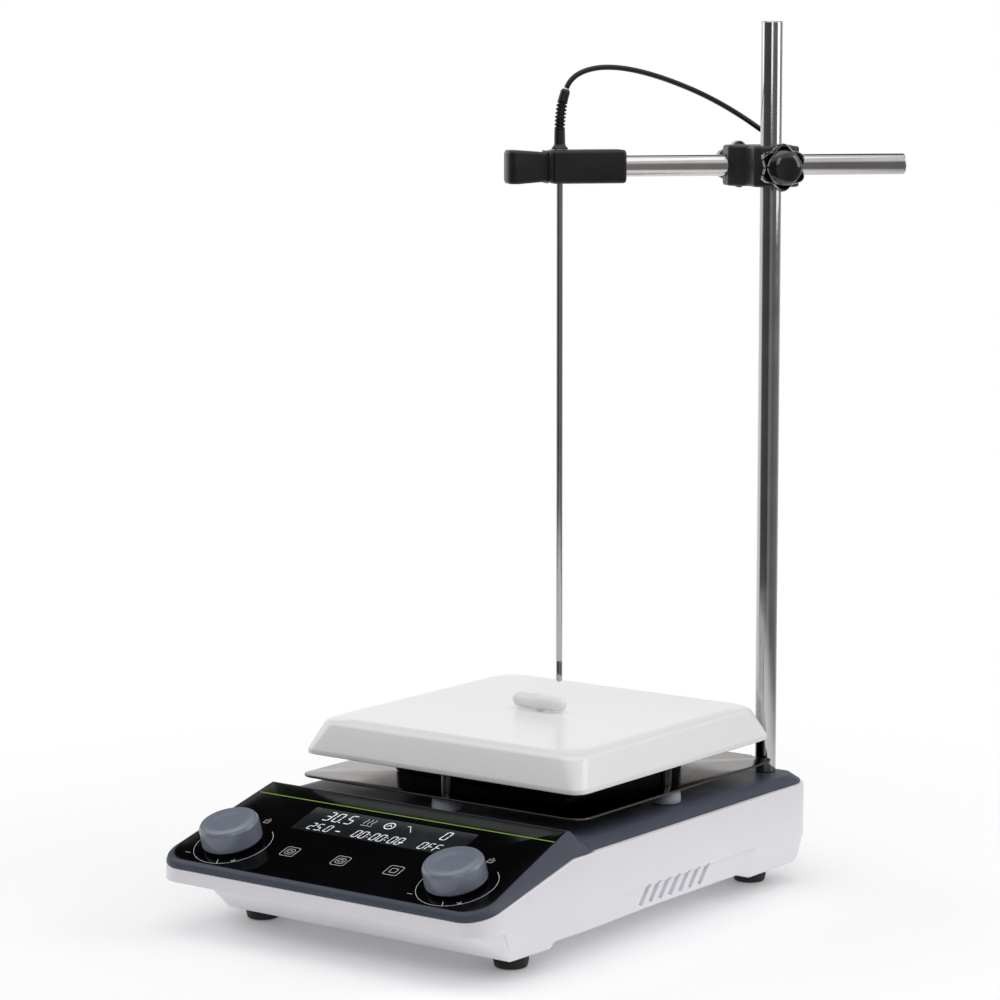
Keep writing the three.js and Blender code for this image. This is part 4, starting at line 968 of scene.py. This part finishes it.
def top_cover():
    """Slate cover: hollow, with the panel's pocket and openings for display, dials, rod and drive."""
    rings = [cover_section(y, 0, 0, 0.4) for y in stations(0, (SEAM, COVER_TOP, COVER_HALF))]
    body = solid("cover", loft(rings), HOUSING, "cover")
    hollow = [cover_section(y, WALL, 3.6 if y < DECK_FRONT_Y else WALL, 0.4)
              for y in stations(WALL, (SEAM, COVER_TOP, COVER_HALF))]
    cutters = [
        solid("hollow", loft(hollow), HOUSING, "cover"),
        solid("pocket", prism(rounded(panel_corners(0), steps=10), -RECESS, 8), PANEL, "cover"),
        display_block(1.5, -8, 6),
        drill(4.2, 40, 60, STAND),
        drill(12, 40, 60, HOUSING),
    ]
    cutters += [drill(DIAL_HOLE_R, -8, 6, place) for place in DIAL_PLACES.values()]
    carve(body, cutters)
    fit(bevel(body, 0.4, 3), "base", "cover", "top_cover")


DISPLAY_HALF_X, DISPLAY_HALF_Y, DISPLAY_Y = 46.5, 10.2, -24.2
DIAL_HOLE_R = 4.8


def display_block(margin, z0, z1):
    """Cuts the display's opening."""
    half_x, half_y = DISPLAY_HALF_X + margin, DISPLAY_HALF_Y + margin
    return block((-half_x, DISPLAY_Y - half_y, z0), (half_x, DISPLAY_Y + half_y, z1), PANEL)


top_cover()

# ---------------------------------------------------------------- control panel

PANEL_THICK = 1.5


def panel_film():
    """The glossy film with its openings, and the display's window in it."""
    body = plate("film", panel_corners(GAP), -PANEL_THICK, 0, PANEL, "panel", 0.25, 10)
    cutters = [display_block(0, -4, 4)]
    cutters += [drill(DIAL_HOLE_R, -4, 4, place) for place in DIAL_PLACES.values()]
    fit(carve(body, cutters), "base", "panel", "front_panel")
    window = PANEL @ Matrix.Translation((0, DISPLAY_Y, 0))
    corners = rectangle(2 * DISPLAY_HALF_X - 0.3, 2 * DISPLAY_HALF_Y - 0.3, 0.8)
    fit(plate("window", corners, -PANEL_THICK, -0.05, window, "display", 0.15), "base", "display",
        "display_window")


panel_film()


class Print:
    """Flat ink on the panel, in the panel's millimetres: u to the right, v down from the crest."""

    HEIGHT = 0.03
    THICK = 0.05

    def __init__(self):
        self.verts, self.faces = [], []

    def shape(self, points):
        """A filled convex shape, as a thin closed wafer."""
        start, count = len(self.verts), len(points)
        for z in (self.HEIGHT - self.THICK, self.HEIGHT):
            self.verts += [(u, -v, z) for u, v in points]
        bottom, top = list(range(start, start + count)), list(range(start + count, start + 2 * count))
        area = sum(a[0] * b[1] - b[0] * a[1] for a, b in zip(points, points[1:] + points[:1]))
        if area > 0:
            bottom, top = bottom[::-1], top[::-1]
        self.faces += [bottom[::-1], top]
        self.faces += [[bottom[i], bottom[(i + 1) % count], top[(i + 1) % count], top[i]]
                       for i in range(count)]

    def stroke(self, points, width, closed=False):
        """A line of even width; each step is its own wafer and overlaps the next by a hair."""
        points = [Vector(p) for p in points]
        if closed:
            points.append(points[0])
        for a, b in zip(points, points[1:]):
            step = (b - a).normalized() * 0.15 * width
            side = Vector((-step.y, step.x)).normalized() * width / 2
            self.shape([tuple(a - step + side), tuple(b + step + side), tuple(b + step - side),
                        tuple(a - step - side)])

    def arc(self, u, v, radius, start, stop, width, steps=40):
        """Degrees run clockwise on the panel from its right."""
        angles = [math.radians(start + (stop - start) * i / steps) for i in range(steps + 1)]
        self.stroke([(u + radius * math.cos(a), v + radius * math.sin(a)) for a in angles], width)

    def rounded_square(self, u, v, half, corner, width):
        outline = rounded([(u + x, v + y, corner) for x, y, _ in rectangle(2 * half, 2 * half, 0)],
                          steps=4)
        self.stroke([tuple(p) for p in outline], width, closed=True)

    def finish(self, name, material, slot):
        piece = new_piece(name, self.verts, self.faces, PANEL, material)
        return fit(piece, "base", slot)


# seven segments of a digit, as the ends of each bar on a 1 x 2 grid with v down
SEGMENTS = {"a": ((0, 0), (1, 0)), "b": ((1, 0), (1, 1)), "c": ((1, 1), (1, 2)), "d": ((0, 2), (1, 2)),
            "e": ((0, 1), (0, 2)), "f": ((0, 0), (0, 1)), "g": ((0, 1), (1, 1))}
DIGITS = {"0": "abcdef", "1": "bc", "2": "abged", "3": "abgcd", "4": "fgbc", "5": "afgcd", "O": "abcdef",
          "F": "aefg"}
SLANT = 0.14


def digits(ink, text, u, v, height, pitch):
    """Seven-segment characters; u and v are the top left corner."""
    width = 0.44 * height
    bar = 0.075 * height
    for character in text:
        if character in ".:":
            spots = (1.95,) if character == "." else (0.7, 1.4)
            for spot in spots:
                y = v + spot * height / 2
                x = u - (0.12 if character == "." else 0.0) * pitch + SLANT * (height - (y - v))
                half = bar * 0.62
                ink.shape([(x + i * half, y + j * half) for i, j in ((-1, -1), (1, -1), (1, 1), (-1, 1))])
            u += (0.3 if character == "." else 0.55) * pitch
            continue
        for key in DIGITS[character]:
            (x0, y0), (x1, y1) = SEGMENTS[key]
            a, b = Vector((x0 * width, y0 * height / 2)), Vector((x1 * width, y1 * height / 2))
            step = (b - a).normalized()
            side = Vector((-step.y, step.x)) * bar / 2
            a, b = a + step * bar * 0.25, b - step * bar * 0.25
            corners = [a, a + step * bar / 2 + side, b - step * bar / 2 + side, b,
                       b - step * bar / 2 - side, a + step * bar / 2 - side]
            ink.shape([(u + p.x + SLANT * (height - p.y), v + p.y) for p in corners])
        u += pitch


def display_marks():
    """Temperature, timer and speed in seven segments, with the signs for heat, turning and a ramp."""
    ink = Print()
    for text, *layout in (("30.5", -36.3, 16.6, 7.2, 5.4), ("25.0", -38.4, 27.4, 5.4, 4.1),
                          ("00:00:00", -12.6, 27.2, 5.7, 4.0), ("0", 30.4, 16.6, 6.6, 5.4),
                          ("OFF", 25.0, 27.4, 5.6, 4.1)):
        digits(ink, text, *layout)
    for u in (-13.6, -11.4, -9.2):
        wave = [(u + 0.45 * math.sin(TURN * t / 12), 16.9 + 4.6 * t / 12) for t in range(13)]
        ink.stroke(wave, 0.16)
    ink.stroke([(-14.6, 22.6), (-8.4, 22.6)], 0.16)
    ink.arc(0, 19.6, 2.6, 0, 360, 0.5)
    ink.stroke([(-1.2, 20.4), (0.1, 18.4), (1.3, 20.2)], 0.35)
    ink.stroke([(8.8, 17.6), (10.2, 17.2), (13.4, 21.8)], 0.3)
    ink.stroke([(-22.6, 30.9), (-20.2, 30.9)], 0.6)
    ink.stroke([(13.4, 30.9), (15.8, 30.9)], 0.6)
    ink.finish("display_marks", "segments", "display")


GREEN_LINE_V = 10.0


def touch_marks():
    """Three touch keys, the scale and signs round each dial, and the green line."""
    ink = Print()
    for u in (-31.5, -2.4, 27.5):
        ink.rounded_square(u, 53, 3.8, 1.2, 0.26)
    for u in (-31.5, -2.4):
        ink.rounded_square(u, 53, 2.2, 1.3, 0.26)
        ink.arc(u, 53, 1.15, 0, 360, 0.26, 20)
    ink.rounded_square(27.5, 53, 1.7, 0.4, 0.26)
    for side in (-1, 1):
        u, v = side * DIAL_X, DIAL_BELOW_CREST
        ink.arc(u, v, 18.3, -52, 232, 0.22, 72)
        ink.stroke([(u + 3.0, v + 14.6), (u + 4.6, v + 17.6)], 0.35)
        ink.stroke([(u + 9.4, v + 13.4), (u + 12.4, v + 13.4)], 0.26)
        ink.stroke([(u + 10.9, v + 11.9), (u + 10.9, v + 14.9)], 0.26)
        ink.stroke([(u - 17.6, v + 13.2), (u - 14.8, v + 13.2)], 0.26)
        ink.stroke([(u + 1.0, v - 23.4), (u + 1.0, v - 20.4), (u + 3.6, v - 20.4), (u + 3.6, v - 23.4)],
                   0.24)
        ink.stroke([(u + 2.3, v - 24.4), (u + 2.3, v - 21.8)], 0.24)
    ink.finish("touch_marks", "print", "panel")
    line = Print()
    half = along([(0, PANEL_HALF_TOP), (PANEL_LENGTH, PANEL_HALF_FRONT)], GREEN_LINE_V) - 0.6
    line.stroke([(-half, GREEN_LINE_V), (half, GREEN_LINE_V)], 0.6)
    line.finish("green_line", "green", "panel")


display_marks()
touch_marks()


def dials():
    """Satin dials with a dished face, each bored for its shaft."""
    shape = turned([(0, 10.05, 0), (3.3, 10.05, 0.1), (3.3, 1.5, 0.2), (13.2, 1.5, 0.5),
                    (14.0, 2.3, 0.5), (13.75, 10.2, 0.9), (12.8, 11.6, 0.5), (11.6, 11.4, 0.8),
                    (7.5, 10.7, 8.0), (0, 10.4, 0)], 6, 96)
    for side, place in DIAL_PLACES.items():
        fit(solid(f"{side}_dial", shape, place, "knob", 40), f"{side}_dial", "knob", f"{side}_knob")


dials()

# ---------------------------------------------------------------- feet, posts and hot plate


POSTS = "front_post", "right_post", "rear_post", "left_post"
shield_low, shield_high = local_box("shield_plate")
SHIELD_Z = shield_low.z


def feet_and_posts():
    for node in ("front_left_foot", "front_right_foot", "rear_left_foot", "rear_right_foot"):
        top = local_box(node)[1].z
        shape = turned([(0, 0, 0), (3.2, 0, 0.2), (3.2, 0.7, 0.3), (5.6, 0.7, 0.3), (5.6, 0, 0.3),
                        (7.2, 0, 0.8), (8.0, 3.2, 0.6), (7.5, 3.9, 0.3), (8.3, 4.6, 0.5),
                        (8.6, top, 0.3), (0, top, 0)], 4, 56)
        fit(solid(node.replace("_foot", "_pad"), shape, upright_at(node), "foot"), "base", "foot", node)
    for node in POSTS:
        low, high = local_box(node)
        place = upright_at(node)
        shoulder = SHIELD_Z - GAP
        shape = turned([(0, low.z, 0), (6.8, low.z, 0.4), (7, low.z + 1.6, 0.4), (6.6, shoulder, 0.5),
                        (0, shoulder, 0)], 4, 48)
        fit(solid(node.replace("_post", "_pillar"), shape, place, "post"), "base", "post", node)
        shape = turned([(0, shoulder - 2, 0), (2.5, shoulder - 2, 0), (2.5, high.z, 0.2),
                        (0, high.z, 0)], 4, 32)
        fit(solid(node.replace("_post", "_stud"), shape, place, "sheet"), "base", "shaft_steel")


feet_and_posts()

CORNER_R, CORNER_SPREAD = 6.5, 0.8


def hot_plate():
    """Enamelled plate with sloping sides and a rolled edge."""
    low, high = local_box("top_plate")
    half, base_z, top_z = high.x, low.z, high.z
    profile = rounded([(half - 1.2, base_z, 0), (half, base_z, 0.7), (half, base_z + 2.2, 2.5),
                       (half - 5.0, top_z - 1.2, 3.6), (half - 11, top_z, 14), (half - 40, top_z, 0)],
                      closed=False, steps=7)
    rings = []
    for x, z in profile:
        corner = min(CORNER_R + CORNER_SPREAD * max(0.0, half - x), x - 1)
        rings.append([(p.x, p.y, z) for p in rounded(rectangle(2 * x, 2 * x, corner), steps=10)])
    fit(solid("enamelled_plate", loft(rings), HOUSING, "enamel", 40), "base", "enamel", "top_plate")


MAGNET_BORE_R, ROD_HOLE_R, STUD_HOLE_R = 42, 6.5, 2.8


def sheet_plates():
    """Shield and backing plate, and the heater's can between them."""
    side = shield_high.x - shield_low.x
    shield = plate("shield_sheet", rectangle(side, side, 8), SHIELD_Z, SHIELD_Z + 1, HOUSING, "sheet",
                   0.3, 10)
    through = SHIELD_Z - 2, SHIELD_Z + 3
    cutters = [drill(MAGNET_BORE_R, *through, HOUSING, 72), drill(ROD_HOLE_R, *through, STAND)]
    cutters += [drill(STUD_HOLE_R, *through, upright_at(node), 24) for node in POSTS]
    fit(carve(shield, cutters), "base", "stainless", "shield_plate")
    low, high = local_box("backing_plate")
    side = high.x - low.x
    backing = plate("backing_sheet", rectangle(side, side, 6), low.z, high.z, HOUSING, "sheet", 0.3, 10)
    fit(backing, "base", "stainless", "backing_plate")
    low, high = local_box("heater_housing")
    side = high.x - low.x
    can = plate("heater_can", rectangle(side, side, 4), low.z, high.z, HOUSING, "heater", 0.8, 8)
    carve(can, [drill(MAGNET_BORE_R, low.z - 2, high.z + 2, HOUSING, 72)])
    fit(can, "base", "heater_black", "heater_housing")


hot_plate()
sheet_plates()


def stir_bar():
    """Smooth white capsule with a raised ring round its middle."""
    low, high = local_box("stirring_bar")
    half, radius, z = (high.x - low.x) / 2, (high.z - low.z) / 2, (low.z + high.z) / 2
    body, ring = radius - 0.5, 1.5
    profile = rounded_end(body, -half, 10)
    profile += [(body, -ring - 0.6), (radius - 0.1, -ring + 0.1), (radius, -ring + 0.5)]
    profile += [(r, -x) for r, x in reversed(profile)]
    place = turned_frame(HOUSING, (0, 0, z), (0, 1, 0), (0, 0, 1))
    fit(solid("stir_capsule", lathe(profile, 48), place, "ptfe"), "stir_bar", "ptfe", "stirring_bar")


stir_bar()

# ---------------------------------------------------------------- stand, boss head, arm and probe

rod_low, rod_high = local_box("stand_rod")
ROD_R = 5.0
ROD_TOP_Z = rod_high.z
SHOULDER_Z = DECK_Z + GAP


def rods():
    """Upright rod with its threaded foot, and the plain level rod."""
    thread = [(0, rod_low.z), (3.1, rod_low.z), (3.7, rod_low.z + 0.8)]
    z = rod_low.z + 1.6
    while z < SHOULDER_Z - 5:
        thread += [(3.7, z), (3.2, z + 0.5), (3.7, z + 1.0)]
        z += 1.25
    shaft = rounded([(3.3, SHOULDER_Z, 0), (ROD_R, SHOULDER_Z, 0.4), (ROD_R, ROD_TOP_Z, 0.7),
                     (0, ROD_TOP_Z, 0)], closed=False, steps=4)
    shape = lathe([*thread, (3.3, z), *shaft], 96)
    fit(solid("upright_rod", shape, STAND, "rod"), "stand", "rod_steel", "stand_rod")
    corners = frame["nodes"]["arm_rod"].data.vertices
    reach = [(corner.co - arm_axis).dot(arm_along) / MM for corner in corners]
    offset = (arm_axis - rod_axis).dot(arm_along) / MM
    start, stop = min(reach) + offset, max(reach) + offset
    shape = turned([(0, start, 0), (ROD_R, start, 0.7), (ROD_R, stop, 0.7), (0, stop, 0)], 4, 96)
    fit(solid("level_rod", shape, ALONG_ARM, "arm"), "arm", "rod_steel", "arm_rod")


rods()

BOSS_HALF = 9.5
ROD_KNOB_Y, ARM_KNOB_X, ARM_KNOB_Y = -16, -9.0, 23
SCREW_BORE_R, SCREW_BORE_LENGTH, ARM_BORE_Y = 3.3, 12, 15
BOSS = [(-8, -13, 1.5), (8, -13, 1.5), (11, -10, 1.5), (11, 2, 2), (12.5, 5, 1), (12.5, 17.5, 1.2),
        (10, 20, 1.2), (-16, 20, 1.2), (-19, 17, 1.2), (-19, 7, 1.2), (-16, 4, 2), (-11, 2, 2),
        (-11, -10, 1.5)]


def boss_head():
    """Clamp block with its two crossed bores and the two screws' bores."""
    outline = rounded(BOSS, steps=4)
    head = solid("clamp_block", prism(outline, ARM_Z - BOSS_HALF, ARM_Z + BOSS_HALF, 1.3, 4), STAND,
                 "boss")
    cutters = [
        drill(ROD_R + GAP, ARM_Z - 20, ARM_Z + 20, STAND, 72),
        drill(ROD_R + GAP, -40, 40, ALONG_ARM, 72),
    ]
    for x, y in ((0, ROD_KNOB_Y), (ARM_KNOB_X, ARM_BORE_Y)):
        place = turned_frame(STAND, (x, y, ARM_Z), (0, 0, 1), (1, 0, 0))
        cutters.append(drill(SCREW_BORE_R, 0, SCREW_BORE_LENGTH, place))
    fit(bevel(carve(head, cutters), 0.4, 3), "boss", "boss", "boss_head")


boss_head()

LOBES, LOBE_HEIGHT, STAR_R = 6, 1.0, 10.2


def star_knob(name, place, body, node, screw):
    """Six-lobed knob with a rolled rim, a sunk ring and a domed cap, on its screw; z points outward."""
    # share of the radius, z, share of the lobes' height
    levels = [(0.0, -2.0, 0), (0.62, -2.0, 0), (0.64, -0.3, 0), (0.90, 0.0, 1), (0.985, 0.7, 1),
              (1.0, 2.0, 1), (1.0, 5.6, 1), (0.985, 7.0, 1), (0.95, 7.8, 1), (0.90, 8.0, 1),
              (0.87, 7.6, 0.8), (0.85, 6.2, 0.2), (0.835, 6.0, 0), (0.82, 6.3, 0), (0.82, 8.6, 0),
              (0.80, 9.7, 0), (0.74, 10.8, 0), (0.62, 11.7, 0), (0.42, 12.3, 0), (0.2, 12.55, 0),
              (0.0, 12.6, 0)]
    steps = 144
    rings = []
    for share, z, waves in levels:
        ring = []
        for i in range(steps):
            angle = TURN * i / steps
            radius = share * (STAR_R + waves * LOBE_HEIGHT * math.cos(LOBES * angle)) + 1e-3
            ring.append((radius * math.cos(angle), radius * math.sin(angle), z))
        rings.append(ring)
    knob = solid(name, loft(rings), place, "handwheel", 38)
    fit(knob, body, "handwheel", node)
    profile = [(0, -screw), (2.4, -screw), (2.9, -screw + 0.5)]
    z = -screw + 0.9
    while z < -2.6:
        profile += [(2.9, z), (2.45, z + 0.4), (2.9, z + 0.8)]
        z += 1.0
    profile += [(2.9, -1.5), (0, -1.5)]
    fit(solid(f"{name}_screw", lathe(profile, 40), place, "steel"), body, "shaft_steel")


star_knob("front_star_knob", turned_frame(STAND, (0, ROD_KNOB_Y, ARM_Z), (0, 0, 1), (-1, 0, 0)),
          "rod_handwheel", "rod_knob", 9.2)
star_knob("rear_star_knob", turned_frame(STAND, (ARM_KNOB_X, ARM_KNOB_Y, ARM_Z), (0, 0, 1), (1, 0, 0)),
          "arm_handwheel", "arm_knob", 4.2)

HOLDER_HALF = 7.8
HOLDER_NECK, HOLDER_RIGHT, HOLDER_LEFT, NUT_RIGHT = -102.7, -68.1, -124.6, -105.1
NUT_NOSE = 5.0
# (distance from the end, inset) of each softened end
HOLDER_END = (1.6, 0.0), (0.9, 0.15), (0.3, 0.55), (0.0, 1.2)
NUT_END = (0.0, 1.1), (0.18, 0.5), (0.55, 0.18)


def arm_bar(levels, corner=1.6):
    """Square bar along the arm from (x, half depth, half height) levels, with soft edges."""
    rings = []
    for x, half_y, half_z in levels:
        outline = rounded(rectangle(2 * half_y, 2 * half_z, corner), steps=6)
        rings.append([(x, ARM_BACK + p.x, ARM_Z + p.y) for p in outline])
    return loft(rings)


def probe_holder():
    """Square holder that grips the rod and the probe, and its cap with a blunt nose."""
    h = HOLDER_HALF
    levels = [(NUT_RIGHT + GAP, h - 1.1, h - 1.1), (NUT_RIGHT + GAP + 0.9, h - 1.0, h - 1.0)]
    levels += [(NUT_RIGHT + GAP + 1.0, h - 0.35, h - 0.35), (NUT_RIGHT + GAP + 1.5, h - 0.35, h - 0.35),
               (NUT_RIGHT + GAP + 1.6, h - 1.0, h - 1.0), (HOLDER_NECK, h - 1.0, h - 1.0)]
    levels += [(HOLDER_NECK + 0.02, h - 0.3, h - 0.3), (HOLDER_NECK + 0.35, h, h)]
    levels += [(HOLDER_RIGHT - dx, h - inset, h - inset) for dx, inset in HOLDER_END]
    body = solid("holder_body", arm_bar(levels), STAND, "holder", 40)
    cutters = [
        drill(ROD_R + GAP, -88.3, -60, ALONG_ARM, 64),
        drill(1.8, ARM_Z - 20, ARM_Z + 20, STAND @ Matrix.Translation((PROBE_X, ARM_BACK, 0)), 32),
    ]
    fit(carve(body, cutters), "holder", "holder", "probe_holder")
    levels = []
    for i in range(9):
        share = 1 - math.cos(math.pi / 2 * i / 8)
        width = h - NUT_NOSE * (1 - math.sqrt(share * (2 - share)))
        height = h - 1.3 * max(0.0, 1 - 3.2 * share) ** 2
        levels.append((HOLDER_LEFT + NUT_NOSE * share, width, height))
    levels += [(NUT_RIGHT - dx, h - inset, h - inset) for dx, inset in NUT_END]
    fit(solid("holder_cap", arm_bar(levels, 1.4), STAND, "holder", 40), "clamp_nut", "holder",
        "holder_nut")


probe_holder()


PROBE_R, PROBE_GROOVE_R = 1.5, 1.42
PROBE_PLACE = STAND @ Matrix.Translation((PROBE_X, ARM_BACK, 0))


def probe():
    """Sheath with a rounded tip and a rolled groove above it."""
    low, high = local_box("probe_tube")
    profile = rounded_end(PROBE_R, low.z, 8)
    profile += [(PROBE_R, low.z + 9.8), (PROBE_GROOVE_R, low.z + 10.0), (PROBE_GROOVE_R, low.z + 10.5),
                (PROBE_R, low.z + 10.7), (PROBE_R, high.z), (0, high.z)]
    fit(solid("probe_sheath", lathe(profile, 48), PROBE_PLACE, "rod"), "probe", "rod_steel", "probe_tube")


probe()


def strain_relief():
    """Flared collar, plain sleeve, ribbed bend and end sleeve, along the lead's way out."""
    foot_z = local_box("strain_relief")[0].z
    points = [(0, 0, foot_z), (0, 0, foot_z + 4), (0, 0, 358), (0.3, 0, 364), (1.2, 0, 370.5),
              (3.0, 0, RELIEF_TOP_Z)]
    line, _ = smooth_path(points, 0.22)
    travelled, radii = 0.0, []
    for i, point in enumerate(line):
        travelled += (point - line[i - 1]).length if i else 0.0
        radii.append(relief_radius(travelled))
    shape = tube(line, lambda i: radii[i], 32)
    fit(solid("ribbed_sleeve", shape, PROBE_PLACE, "holder", 30), "probe", "relief", "strain_relief")


COLLAR = [(0, 3.9), (0.5, 3.9), (0.9, 3.55), (1.6, 2.9), (2.4, 2.6), (8.6, 2.5)]
RIBS_START, RIB_PITCH, RIBS_END = 9.0, 1.75, 22.0
RIB_R, RIB_DEPTH = 2.55, 0.75


def relief_radius(s):
    """Radius of the strain relief at the distance s from its foot."""
    if s < RIBS_START:
        return along(COLLAR, s)
    if s < RIBS_END:
        phase = ((s - RIBS_START) % RIB_PITCH) / RIB_PITCH
        groove = RIB_DEPTH * (1 - smoothstep(0.0, 0.16, phase) + smoothstep(0.62, 0.78, phase))
        return RIB_R - min(RIB_DEPTH, groove)
    return along([(RIBS_END, 1.9), (RIBS_END + 0.3, 2.35), (RIBS_END + 5.2, 2.2),
                  (RIBS_END + 6.2, 1.5)], s)


strain_relief()

# ---------------------------------------------------------------- nodes that keep their CAD shape

CARRIED_OVER = {
    "module": ["display_module", "left_encoder", "right_encoder", "mains_inlet", "switch_frame", "rocker"],
    "board": ["panel_board", "main_board"],
    "steel": ["left_knob_shaft", "right_knob_shaft", "drive_shaft", "probe_socket"],
    "brass": ["rod_socket", "plate_sensor", "rod_pad", "arm_pad"],
    "motor": ["motor", "motor_bracket"],
    "carrier": ["magnet_carrier"],
    "magnet": ["drive_magnet_a", "drive_magnet_b"],
    "insulation": ["insulation_pad"],
    "element": ["heating_element"],
}
BEVELLED = {"mains_inlet": 0.5, "switch_frame": 0.4, "rocker": 0.5, "probe_socket": 0.3, "motor": 0.6}
for material, nodes in CARRIED_OVER.items():
    for node in nodes:
        piece = frame["nodes"][node]
        piece.data.materials.clear()
        piece.data.materials.append(MATERIALS[material])
        if node in BEVELLED:
            bevel(piece, BEVELLED[node], 3)

# ---------------------------------------------------------------- last update of the view layer

bpy.context.view_layer.update()
